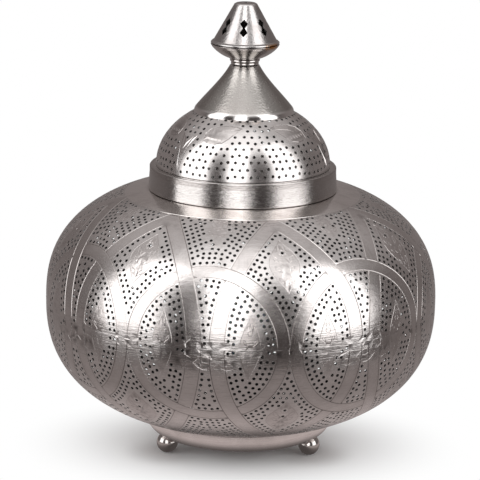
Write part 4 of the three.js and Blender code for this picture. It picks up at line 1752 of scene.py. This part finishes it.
@dataclass
class Base:
    """The dish under the body and its three ball feet."""

    floor_radius: float = 72.0
    rim_radius: float = 84.0
    floor: float = 16.8
    rim: float = 33.0
    wall: float = 1.0
    foot_radius: float = 9.5
    foot_centre: float = 9.0
    foot_circle: float = 68.0
    foot_side: float = 68.0
    foot_top: float = 16.5
    sunk_radius: float = 52.0
    sunk_depth: float = 0.5

    def build(self, shelf: FinishShelf) -> None:
        """Makes and dresses the dish and the feet."""
        shelf.place(self._dish(), Body.STAND, [BASE_NICKEL_PAINTED_LIGHT], "base_dish")
        for side, degrees in (("left", -self.foot_side), ("right", self.foot_side), ("back", 180.0)):
            shelf.place(self._foot(side, degrees), Body.STAND, [FOOT_NICKEL_PAINTED_SHADE], "foot_" + side)

    def _dish(self) -> Piece:
        """The dish, with a thin rim and a shallow ring turned into its underside.

        Returns:
            The turned piece.
        """
        size = (self.rim_radius - self.floor_radius, self.rim - self.floor)
        inner = (size[0] - self.wall, size[1] - self.wall)
        outer = arc((self.floor_radius, self.rim), size, -90.0, -3.0, 18)
        lip = [(self.rim_radius, self.rim - 0.1), (self.rim_radius - 0.15, self.rim),
               (self.rim_radius - self.wall, self.rim)]
        back = arc((self.floor_radius, self.rim), inner, -6.0, -90.0, 14)
        sunk, raised = self.sunk_radius, self.floor + self.sunk_depth
        under = [(0.0, raised), (sunk, raised), (sunk + 1.0, self.floor), (sunk + 4.0, self.floor)]
        return turn("base_dish_bowl", under + outer + lip + back + [(0.0, self.floor + 1.3)], 128)

    def _foot(self, side: str, degrees: float) -> Piece:
        """One ball, flattened where it stands and seated on a thin collar.

        Args:
            side: the name of its place.
            degrees: its place round the dish.

        Returns:
            The turned piece.
        """
        angle = math.radians(degrees)
        axis = (self.foot_circle * math.sin(angle), -self.foot_circle * math.cos(angle))
        low = math.degrees(math.asin(-self.foot_centre / self.foot_radius))
        ball = arc((0.0, self.foot_centre), (self.foot_radius, self.foot_radius), low, 50.0, 22)
        collar = [(5.4, 16.0), (5.7, 16.2), (5.7, self.foot_top), (0.0, self.foot_top)]
        return turn("foot_ball_" + side, [(0.0, 0.0)] + ball + collar, 48, axis)


@dataclass
class LampBody:
    """The round pierced body in two raised halves, with the collar on its neck."""

    radius: float = 172.4
    shoulder_height: float = 107.8
    shoulder_power: float = 2.48
    belly_depth: float = 112.2
    belly_power: float = 2.44
    neck_level: float = 231.9
    neck_blend: float = 0.7
    skirt: float = 103.4
    flare_top: float = 235.8
    flare_swell: float = 0.12
    neck_radius: float = 81.8
    mouth_radius: float = 74.0
    collar_radius: float = 81.5
    collar_low: float = 226.3
    collar_top: float = 255.7
    collar_wall: float = 1.0
    wall: float = 0.8
    curve_points: int = 700
    patina_depths: Point = (0.5, 0.11)

    def _rise(self, radii: Array, height: float, power: float) -> Array:
        """The height of a full round curve over its widest level."""
        return height * np.maximum(0.0, 1.0 - (radii / self.radius) ** power) ** (1.0 / power)

    def _radii(self, power: float, end: float) -> Array:
        """Radii from the seam to an edge, close together where the curve is steep."""
        last = math.acos(min(1.0, (end / self.radius) ** (power / 2)))
        return self.radius * np.cos(np.linspace(0.0, last, self.curve_points)) ** (2.0 / power)

    def _shoulder(self, radii: Array) -> Array:
        """The height of the shoulder, level at the neck."""
        heights = EQUATOR + self._rise(radii, self.shoulder_height, self.shoulder_power)
        over = (heights - self.neck_level) / self.neck_blend
        return heights - self.neck_blend * np.logaddexp(0.0, over)

    def curves(self) -> tuple[SheetCurve, SheetCurve]:
        """The upper and the lower curve.

        Returns:
            Both, from the seam to the edge.
        """
        radii = self._radii(self.shoulder_power, self.neck_radius)
        upper = SheetCurve(radii, self._shoulder(radii))
        radii = self._radii(self.belly_power, self.mouth_radius)
        heights = EQUATOR - self._rise(radii, self.belly_depth, self.belly_power)
        return upper, SheetCurve(radii, heights, False)

    def build(self, shelf: FinishShelf) -> None:
        """Makes and dresses the two halves and the collar.

        Args:
            shelf: the materials.
        """
        upper, lower = self.curves()
        ornament = BodyOrnament(upper, lower)
        strokes = ornament.strokes()
        dots = ornament.dots(strokes)
        LOG.info("body: %d holes and %d engraved lines", len(dots), len(strokes))
        shares = ornament.halves(strokes)
        halves = zip(("body_upper", "body_lower"), (upper, lower), (1.0, -1.0), shares, self.patina_depths)
        for name, curve, side, share, depth in halves:
            holes = [punched(curve, (angle, side * level), ornament.dot_radius) for angle, level in dots
                     if side * level > 0]
            sheet = PiercedSheet(curve, self.wall, holes=holes, strokes=share, patina_depth=depth)
            shelf.place(sheet.build(name + "_shell"), Body.STAND, [BODY_NICKEL, PAINTED_SHADE_INSIDE], name)
        shelf.place(self._collar(), Body.STAND, [COLLAR_NICKEL_PAINTED_LIGHT], "neck_collar")

    def _collar(self) -> Piece:
        """The short tube that the lid sits on, flared at its foot into a low cone on the shoulder.

        Returns:
            The turned piece.
        """
        outer, inner = self.collar_radius, self.collar_radius - self.collar_wall
        edge = float(self._shoulder(np.array([self.skirt]))[0])
        foot = [(inner, self.collar_low), (outer, self.collar_low), (outer, self.neck_level - 0.5),
                (self.skirt, edge - 0.4), (self.skirt + 0.1, edge)]
        flare = []
        for part in np.linspace(0.0, 1.0, 9):
            rise = (self.flare_top - edge) * (part + self.flare_swell * part * (1.0 - part))
            flare.append((self.skirt + (outer - self.skirt) * part, edge + 0.14 + rise))
        side = flare + [(outer, self.collar_top - 8.0)]
        lip = arc((outer - 0.5, self.collar_top - 0.5), (0.5, 0.5), 0.0, 180.0, 6)
        return turn("neck_collar_ring", foot + side + lip + [(inner, self.collar_low)], 128)


@dataclass
class Lid:
    """The lift-off lid: its band, its pierced dome and its cone."""

    band_radius: float = 82.8
    band_low: float = 236.26
    band_top: float = 257.06
    band_round: float = 0.9
    band_taper: float = 1.3
    band_wall: float = 1.0
    flange_radius: float = 72.0
    dome_radius: float = 76.4
    dome_height: float = 57.4
    dome_foot: float = 257.36
    dome_hole: float = 12.0
    wall: float = 0.8
    lip_radius: float = 43.6
    lip_round: float = 6.5
    cone_sag: float = 1.5
    cone_steps: int = 14
    cone_low: float = 304.24
    cone_top: float = 345.94
    cone_top_radius: float = 13.0

    def build(self, shelf: FinishShelf) -> None:
        """Makes and dresses the lid's three pieces."""
        shelf.place(self._band(), Body.LID, [BAND_NICKEL], "lid_band")
        shelf.place(self._dome(), Body.LID, [DOME_NICKEL, PAINTED_SHADE_INSIDE], "lid_dome")
        shelf.place(self._cone(), Body.LID, [CONE_NICKEL_PAINTED_SHADE], "lid_cone")

    def _band(self) -> Piece:
        """The upright band, rounded over into the flange under the dome.

        Returns:
            The turned piece.
        """
        outer, inner = self.band_radius, self.band_radius - self.band_wall
        low = arc((outer - 0.5, self.band_low + 0.5), (0.5, 0.5), -180.0, 0.0, 6)
        height = self.band_top - self.band_low - self.band_round
        side = [(outer - self.band_taper * part, self.band_low + part * height)
                for part in (0.1, 0.35, 0.65, 0.98)]
        edge = (outer - self.band_taper - self.band_round, self.band_top - self.band_round)
        top = arc(edge, (self.band_round, self.band_round), 10.0, 90.0, 8)
        under = self.band_top - self.band_wall
        flange = [(self.flange_radius, self.band_top), (self.flange_radius, under), (inner, under)]
        return turn("lid_band_ring", low + side + top + flange + [low[0]], 160)

    def _dome(self) -> Piece:
        """The pierced dome.

        Returns:
            The piece.
        """
        last = math.acos(self.dome_hole / self.dome_radius)
        turns = np.linspace(0.0, last, 500)
        heights = self.dome_foot + self.dome_height * np.sin(turns)
        curve = SheetCurve(self.dome_radius * np.cos(turns), heights)
        ornament = DomeOrnament(curve, curve)
        strokes = ornament.motif_strokes()
        dots = ornament.dots(strokes)
        LOG.info("dome: %d holes and %d engraved lines", len(dots), len(strokes))
        holes = [punched(curve, mark, ornament.dot_radius, 10) for mark in dots]
        sheet = PiercedSheet(curve, self.wall, rim_steps=160, spacing=5.0, holes=holes, strokes=strokes)
        return sheet.build("lid_dome_shell")

    def _cone(self) -> Piece:
        """The cone, flared into a rolled lip at its foot.

        Returns:
            The turned piece.
        """
        under = arc((self.lip_radius - 0.6, self.cone_low + 0.6), (0.6, 0.6), -100.0, -4.0, 6)
        middle = (self.lip_radius - self.lip_round, self.cone_low + 0.7)
        lip = arc(middle, (self.lip_round, self.lip_round), 0.0, 36.0, 14)
        start, end = lip[-1], (self.cone_top_radius, self.cone_top - 0.6)
        lip = under + lip
        side = []
        for step in range(1, self.cone_steps + 1):
            part = step / self.cone_steps
            sag = self.cone_sag * LOW_SAG * part * part * (1.0 - part)
            side.append((start[0] + (end[0] - start[0]) * part - sag, start[1] + (end[1] - start[1]) * part))
        crown = [(self.cone_top_radius - 0.6, self.cone_top), (ROD_HOLE, self.cone_top),
                 (ROD_HOLE, self.cone_top - 1.2)]
        inner = [(self.cone_top_radius - 2.0, self.cone_top - 1.2), (lip[0][0] - 1.0, lip[0][1] + 0.8)]
        return turn("lid_cone_flare", lip + side + crown + inner + [lip[0]], 112)


@dataclass
class Finial:
    """The knob on the cone: a beaded ferrule, a bowl and a pierced cap."""

    ferrule_radius: float = 13.1
    ferrule_low: float = 346.24
    bead: float = 1.35
    bowl_low: float = 351.94
    bowl_rim: float = 364.24
    bowl_foot_radius: float = 12.9
    bowl_rim_radius: float = 29.9
    bowl_bow: float = 1.45
    cap_low: float = 364.54
    cap_top: float = 399.84
    cap_bead: float = 1.2
    cap_side_radius: float = 27.7
    cap_top_radius: float = 10.3
    cap_round: float = 2.2
    cut_count: int = 7
    cut_turn: float = -4.0
    cut_rise: float = 16.0
    cut_half_height: float = 7.2
    cut_half_width: float = 3.5
    cut_waist: float = 1.0
    wall: float = 0.9

    def build(self, shelf: FinishShelf) -> None:
        """Makes and dresses the finial's three pieces."""
        shelf.place(self._ferrule(), Body.LID, [BOWL_NICKEL], "finial_ferrule")
        shelf.place(self._bowl(), Body.LID, [BOWL_NICKEL], "finial_bowl")
        shelf.place(self._cap(), Body.LID, [FINIAL_NICKEL, PAINTED_SHADE_INSIDE], "finial_cap")

    def _ferrule(self) -> Piece:
        """Two stacked beads.

        Returns:
            The turned piece.
        """
        inner = self.ferrule_radius - self.bead
        low = arc((inner - 0.9, self.ferrule_low + self.bead), (self.bead, self.bead), -90.0, 70.0, 10)
        high = arc((inner, self.ferrule_low + 3 * self.bead), (self.bead, self.bead), -70.0, 90.0, 10)
        top = self.ferrule_low + 4 * self.bead
        start = (ROD_HOLE, self.ferrule_low)
        return turn("finial_ferrule_beads", [start] + low + high + [(ROD_HOLE, top), start], 72)

    def _bowl(self) -> Piece:
        """The bowl, flaring from the ferrule to its rolled rim.

        Returns:
            The turned piece.
        """
        size = (self.bowl_rim_radius - self.bowl_foot_radius, self.bowl_rim - self.bowl_low)
        inner = (size[0] - 1.0, size[1] - 1.0)
        centre = (self.bowl_foot_radius, self.bowl_rim)
        outer = self._flare(centre, size, 18)
        lip = arc((self.bowl_rim_radius - 0.5, self.bowl_rim - 0.1), (0.5, 0.35), 0.0, 180.0, 6)
        back = self._flare(centre, inner, 12)[::-1]
        start, end = (ROD_HOLE, self.bowl_low), (ROD_HOLE, self.bowl_low + 1.0)
        return turn("finial_bowl_flare", [start] + outer + lip + back + [end, start], 96)

    def _flare(self, centre: Point, size: Point, steps: int) -> Profile:
        """The bowl's side, between a straight cone and a round bowl."""
        turns = [math.pi / 2 * step / steps for step in range(steps + 1)]
        return [(centre[0] + size[0] * math.sin(t) ** self.bowl_bow,
                 centre[1] - size[1] * math.cos(t) ** self.bowl_bow) for t in turns]

    def _cap(self) -> Piece:
        """The pierced cap, from its beaded rim to its flat top.

        Returns:
            The piece.
        """
        side_radius = self.bowl_rim_radius - self.cap_bead
        middle = (side_radius, self.cap_low + self.cap_bead)
        bead = arc(middle, (self.cap_bead, self.cap_bead), -80.0, 105.0, 12)
        bead.append((self.cap_side_radius, self.cap_low + self.cap_bead * 2.2))
        top = (self.cap_top_radius - self.cap_round, self.cap_top - self.cap_round)
        crown = arc(top, (self.cap_round, self.cap_round), 30.0, 90.0, 8)
        section = np.array(bead + crown + [(ROD_HOLE, self.cap_top), (1.5, self.cap_top)])
        steps = np.concatenate([[0.0], np.cumsum(np.hypot(*np.diff(section, axis=0).T))])
        fine = np.linspace(0.0, steps[-1], CAP_POINTS)
        curve = SheetCurve(np.interp(fine, steps, section[:, 0]), np.interp(fine, steps, section[:, 1]))
        rising = slice(0, CAP_SIDE_POINTS)
        level = float(np.interp(self.cap_low + self.cut_rise, curve.heights[rising], curve.reach[rising]))
        inward, upward = crown[0][0] - bead[-1][0], crown[0][1] - bead[-1][1]
        stretch = math.hypot(inward, upward) / upward
        half = [(0.0, 1.0), (-1.0, 0.5), (-self.cut_waist / self.cut_half_width, 0.0), (-1.0, -0.5)]
        corners = drawn(half + [(-x, -y) for x, y in half])
        corners *= (self.cut_half_width, self.cut_half_height * stretch)
        holes = []
        for number in range(self.cut_count):
            angle = math.radians(self.cut_turn + 360.0 * number / self.cut_count)
            holes.append(curve.shape(angle, level, corners))
        sheet = PiercedSheet(curve, self.wall, rim_steps=112, spacing=1.7, clearance=0.7, round_holes=False,
                             holes=holes)
        return sheet.build("finial_cap_pierced")


# One rib of the lampholder's skirt, as depth and rise in mm
RIB = ((0.0, 0.0), (0.5, 0.4), (0.5, 1.2), (0.0, 1.6))


@dataclass
class Lampholder:
    """The screw lampholder and its bulb inside the body."""

    skirt_low: float = 52.7
    skirt_top: float = 86.7
    skirt_radius: float = 20.0
    skirt_bore: float = 18.1
    cap_low: float = 62.1
    cap_top: float = 83.8
    cap_radius: float = 13.1
    thread_pitch: float = 3.6
    glass_low: float = 69.8
    glass_top: float = 153.7
    glass_radius: float = 30.0
    glass_neck: float = 11.6
    glass_wall: float = 0.7
    glass_crown: float = 20.0

    def build(self, shelf: FinishShelf) -> None:
        """Makes and dresses the skirt, the bulb's cap and its glass."""
        shelf.place(self._skirt(), Body.STAND, [BLACK_PLASTIC], "holder_skirt")
        shelf.place(self._screw_cap(), Body.BULB, [BRASS], "bulb_cap")
        shelf.place(self._glass(), Body.BULB, [OPAL_GLASS], "bulb_glass")

    def _skirt(self) -> Piece:
        """The moulded skirt, ribbed round its lower half.

        Returns:
            The turned piece.
        """
        outer, bore = self.skirt_radius, self.skirt_bore
        ribs = []
        for number in range(5):
            level = self.skirt_low + 3.0 + 3.2 * number
            ribs += [(outer - sunk, level + rise) for sunk, rise in RIB]
        lip = arc((outer - 0.9, self.skirt_top - 0.9), (0.9, 0.9), 0.0, 180.0, 8)
        return turn("holder_skirt_ribbed", [(bore, self.skirt_low), (outer, self.skirt_low)] + ribs + lip
                    + [(bore, self.skirt_top - 3.0), (bore, self.skirt_low)], 64)

    def _screw_cap(self) -> Piece:
        """The bulb's brass cap, with its thread rolled into it.

        Returns:
            The turned piece.
        """
        outer, low, top = self.cap_radius, self.cap_low, self.cap_top
        thread = []
        for number in range(5):
            middle = low + 4.0 + self.thread_pitch * number
            thread += arc((outer - 0.9, middle), (0.9, 1.1), -80.0, 80.0, 6)
        inner = [(outer - 1.6, top), (outer - 1.6, low + 3.6), (9.2, low + 0.8), (8.6, low + 0.8),
                 (8.6, low)]
        foot = [(8.6, low), (10.0, low), (outer - 1.0, low + 2.6)]
        return turn("bulb_screw_cap", foot + thread + [(outer - 0.8, top)] + inner, 56)

    def _glass(self) -> Piece:
        """The round opal glass, drawn in to its neck.

        Returns:
            The turned piece.
        """
        centre = (0.0, self.glass_top - self.glass_radius)
        globe = arc(centre, (self.glass_radius, self.glass_radius), -52.0, 90.0, 34)
        foot = [(self.glass_neck - 0.6, self.glass_low), (self.glass_neck - 0.6, self.glass_low + 14.4)]
        start, end = foot[-1], globe[0]
        bend = []
        for step in range(1, 9):
            part = step / 9
            ease = part * part * (3.0 - 2.0 * part) * 0.55 + part * 0.45
            bend.append((start[0] + (end[0] - start[0]) * ease, start[1] + (end[1] - start[1]) * part))
        outer = foot + bend + globe[:-1] + [(0.0, self.glass_top)]
        inner = [(max(0.0, r - self.glass_wall),
                  z - (self.glass_wall if r < self.glass_crown and z > centre[1] else 0.0))
                 for r, z in reversed(outer)]
        return turn("bulb_glass_globe", outer + inner + [outer[0]], 72)


@dataclass
class Fittings:
    """The CAD nodes that keep their own shape, with the finish of each."""

    finishes: dict[str, Finish] = field(default_factory=lambda: {
        "foot_screw": STEEL, "bridge_screw": STEEL, "bridge_nut": STEEL, "holder_bridge": STEEL,
        "holder_nipple": BRASS, "nipple_nut": BRASS, "holder_cap": BLACK_PLASTIC, "holder_insert": PORCELAIN,
        "thread_sleeve": BRASS, "contact_tongue": BRASS, "terminal": BRASS, "bulb_contact": STEEL,
        "bulb_insulator": BLACK_PLASTIC, "cord_grommet": RUBBER, "finial_rod": STEEL, "finial_washer": STEEL,
        "finial_nut": STEEL})

    def build(self, shelf: FinishShelf) -> None:
        """Dresses every node that starts with one of the names.

        Args:
            shelf: the materials.
        """
        for name, node in frame["nodes"].items():
            for start, finish in self.finishes.items():
                if name.startswith(start):
                    shelf.dress(node, finish)
                    LOG.info("%s: dressed as it is", name)


@dataclass(frozen=True)
class Softbox:
    """One upright window of soft light in the surroundings."""

    azimuth: float
    half_width: float
    low: float
    high: float
    radiance: float
    edge: float = 4.0

    def light(self, nodes: Nodes, way: Sequence[Signal]) -> Signal:
        """The light that arrives from a direction.

        Args:
            nodes: the node helper of the surroundings.
            way: the three parts of the direction.

        Returns:
            The brightness of the window there.
        """
        rise = nodes.math("ARCSINE", way[2])
        soft, low, high = (math.radians(turn_by) for turn_by in (self.edge, self.low, self.high))
        share = rise.ramp(low - soft, low + soft) * rise.ramp(high - 2 * soft, high + 2 * soft, 1.0, 0.0)
        return self.width_share(nodes, way) * share * self.radiance

    def width_share(self, nodes: Nodes, way: Sequence[Signal], narrowed: float = 1.0) -> Signal:
        """Whether a direction lies within the window's width.

        Args:
            nodes: the node helper.
            way: the direction's parts, of which the first two are used.
            narrowed: a scale on the window's place and width, for its painted reflection on the floor.

        Returns:
            One inside, falling to none at the edges.
        """
        turn_by = math.radians(self.azimuth * narrowed)
        side, front = math.sin(turn_by), math.cos(turn_by)
        across, forward = way[0] * front + way[1] * side, way[0] * side - way[1] * front
        soft, half = math.radians(self.edge), math.radians(self.half_width * narrowed)
        return nodes.math("ARCTAN2", across, forward).size().ramp(half - soft, half + soft, 1.0, 0.0)


@dataclass(frozen=True)
class Canopy:
    """A round soft light hung overhead."""

    azimuth: float
    elevation: float
    spread: Point
    radiance: float

    def light(self, nodes: Nodes, way: Sequence[Signal]) -> Signal:
        """The light that arrives from a direction.

        Args:
            nodes: the node helper of the surroundings; not used here.
            way: the three parts of the direction.

        Returns:
            The brightness of the canopy there.
        """
        turn_by, rise = math.radians(self.azimuth), math.radians(self.elevation)
        middle = (math.sin(turn_by) * math.cos(rise), -math.cos(turn_by) * math.cos(rise), math.sin(rise))
        near = way[0] * middle[0] + way[1] * middle[1] + way[2] * middle[2]
        inner, outer = (math.cos(math.radians(turn_by)) for turn_by in self.spread)
        return near.ramp(outer, inner) * self.radiance


Ramp = tuple[float, float, float, float]


@dataclass
class Studio:
    """The pale floor, the white backdrop, the soft lights and the camera."""

    camera_place: tuple[float, float, float] = (-0.0015, -2.1206, 0.7118)
    camera_aim: tuple[float, float, float] = (-0.0015, 0.0, 0.1888)
    camera_lens: float = 185.4
    camera_sensor: float = 36.0
    camera_roll: float = 1.0
    floor_radius: float = 0.98
    floor_drop: float = 0.0004
    floor_sides: int = 96
    floor_tones: tuple[Colour, Colour] = (grey(0.78), grey(0.82))
    shadow_reach: Point = (0.02, 0.15)
    shadow_stretch: float = 0.72
    foot_place: Point = (0.063, -0.0255)
    foot_reach: Point = (0.004, 0.045)
    # Painted light on the floor seen only in reflections: its glow colour and the ramps that hold it dark
    # under the lamp and fade it with reach
    painted_floor_glow: Colour = (1.1, 0.98, 0.955, 1.0)
    painted_shade_under_lamp: Ramp = (0.07, 0.11, 0.1, 0.47)
    painted_glow_near: Ramp = (0.11, 0.22, 1.0, 0.6)
    painted_glow_end: Ramp = (0.33, 0.5, 1.0, 0.0)
    painted_glow_back: Ramp = (-0.3, 0.1, 0.32, 0.85)
    # Painted reflections of the windows on the floor, seen only in the metal
    painted_sheen_reach: Ramp = (0.36, 0.98, 0.0, 1.1)
    painted_sheen_narrowed: float = 0.87
    room: Colour = (0.08, 0.07, 0.068, 1.0)
    far_room: Colour = (0.22, 0.195, 0.19, 1.0)
    room_depth: Point = (-0.3, 0.6)
    windows: tuple[Softbox, ...] = (Softbox(-68.0, 20.5, -26.0, 58.0, 2.15),
                                    Softbox(-7.0, 14.0, -26.0, 60.0, 2.4),
                                    Softbox(61.0, 21.0, -26.0, 58.0, 2.15))
    canopies: tuple[Canopy, ...] = (Canopy(-10.0, 72.0, (12.0, 34.0), 0.85),
                                    Canopy(-10.0, 88.0, (24.0, 72.0), 0.42))

    def build(self) -> None:
        """Sets the stage."""
        scene = bpy.context.scene
        scene.view_settings.view_transform = "Standard"
        self._camera(scene)
        self._floor()
        self._world(scene)

    def _camera(self, scene: bpy.types.Scene) -> None:
        """Puts the camera at the photograph's viewpoint, with its small roll.

        Args:
            scene: the scene.
        """
        data = bpy.data.cameras.new("camera")
        data.lens = self.camera_lens
        data.sensor_width = self.camera_sensor
        camera = bpy.data.objects.new("camera", data)
        look = Vector(self.camera_aim) - Vector(self.camera_place)
        camera.location = self.camera_place
        turn_to = look.to_track_quat("-Z", "Y").to_matrix().to_4x4()
        roll = Matrix.Rotation(math.radians(self.camera_roll), 4, "Z")
        camera.rotation_euler = (turn_to @ roll).to_euler()
        scene.collection.objects.link(camera)
        scene.camera = camera

    def _floor(self) -> None:
        """A pale floor that keeps the lamp's shadow and turns to plain white away from it, glowing in
        reflections with painted shade and painted window light.
        """
        bpy.ops.object.select_all(action="DESELECT")
        bpy.ops.mesh.primitive_circle_add(vertices=self.floor_sides, radius=self.floor_radius,
                                          fill_type="NGON", location=(0.0, 0.0, -self.floor_drop))
        floor = bpy.context.object
        floor.name = "floor"
        material, nodes, shader = new_material("pale floor")
        place = nodes.object_place()
        for label, value in (("Base Color", nodes.blend(nodes.noise(place, 3.0), *self.floor_tones)),
                             ("Roughness", 0.9), ("Specular IOR Level", 0.1)):
            nodes.put(value, shader.inputs[label])
        across, along, _ = nodes.parts(place)
        path = nodes.add("LightPath").outputs
        # Camera rays see a white glow over the floor; the floor's own lit shading shows only in an ellipse
        # round the lamp and round each foot, so the shadow's darkness is real but its outline is painted
        # light
        dark = nodes.reach(across * self.shadow_stretch, along)
        from_foot = nodes.reach(across.size() - self.foot_place[0], along - self.foot_place[1])
        share = dark.ramp(*self.shadow_reach) * path["Is Camera Ray"] * from_foot.ramp(*self.foot_reach)
        white = self._glow(nodes, grey(1.0), 1.0)
        seen = nodes.get("MixShader", 0, {0: share, 1: shader.outputs[0], 2: white})
        # Painted light seen only in reflections: the floor glows, held dark under the lamp as painted shade
        # and brighter further out, with painted patches of window light added
        reach = nodes.reach(across, along)
        level = reach.ramp(*self.painted_shade_under_lamp) * reach.ramp(*self.painted_glow_near)
        level = level * reach.ramp(*self.painted_glow_end).most(along.ramp(*self.painted_glow_back))
        painted_window_sheen: Value = 0.0
        for window in self.windows:
            painted_window_sheen = window.width_share(nodes, (across, along), self.painted_sheen_narrowed) + painted_window_sheen
        painted_window_sheen = painted_window_sheen * reach.ramp(*self.painted_sheen_reach)
        mirrored = nodes.get("AddShader", 0, {0: self._glow(nodes, self.painted_floor_glow, level),
                                              1: self._glow(nodes, grey(1.0), painted_window_sheen)})
        shown = nodes.get("MixShader", 0, {0: path["Is Glossy Ray"], 1: seen, 2: mirrored})
        nodes.put(shown, material.node_tree.nodes["Material Output"].inputs["Surface"])
        floor.data.materials.append(material)

    @staticmethod
    def _glow(nodes: Nodes, colour: Colour, strength: Value) -> Signal:
        """A plain glow of one colour."""
        return nodes.get("Emission", 0, {"Color": colour, "Strength": strength})

    def _world(self, scene: bpy.types.Scene) -> None:
        """White behind the lamp for the camera, and a dim room with its lights for the metal.

        Args:
            scene: the scene.
        """
        scene.world = bpy.data.worlds.new("studio")
        scene.world.use_nodes = True
        nodes = Nodes(scene.world.node_tree)
        way = nodes.parts(nodes.get("TexCoord", "Generated"))
        light = nodes.blend(way[1].ramp(*self.room_depth), self.room, self.far_room)
        for lamp in self.windows + self.canopies:
            glow = lamp.light(nodes, way)
            light = nodes.blend(1.0, light, nodes.vector(glow, glow, glow), "ADD")
        path = nodes.add("LightPath").outputs
        shown = nodes.math("MAXIMUM", path["Is Camera Ray"], path["Is Transmission Ray"])
        background = scene.world.node_tree.nodes["Background"]
        nodes.put(nodes.blend(shown, light, grey(1.0)), background.inputs["Color"])
        nodes.put(1.0, background.inputs["Strength"])


def main() -> None:
    """Builds the lamp and its studio in order."""
    logging.basicConfig(level=logging.INFO, format="%(name)s: %(message)s")
    shelf = FinishShelf()
    Studio().build()
    for part in (Base(), LampBody(), Lid(), Finial(), Lampholder(), Fittings()):
        part.build(shelf)


if __name__ == "__main__":
    main()
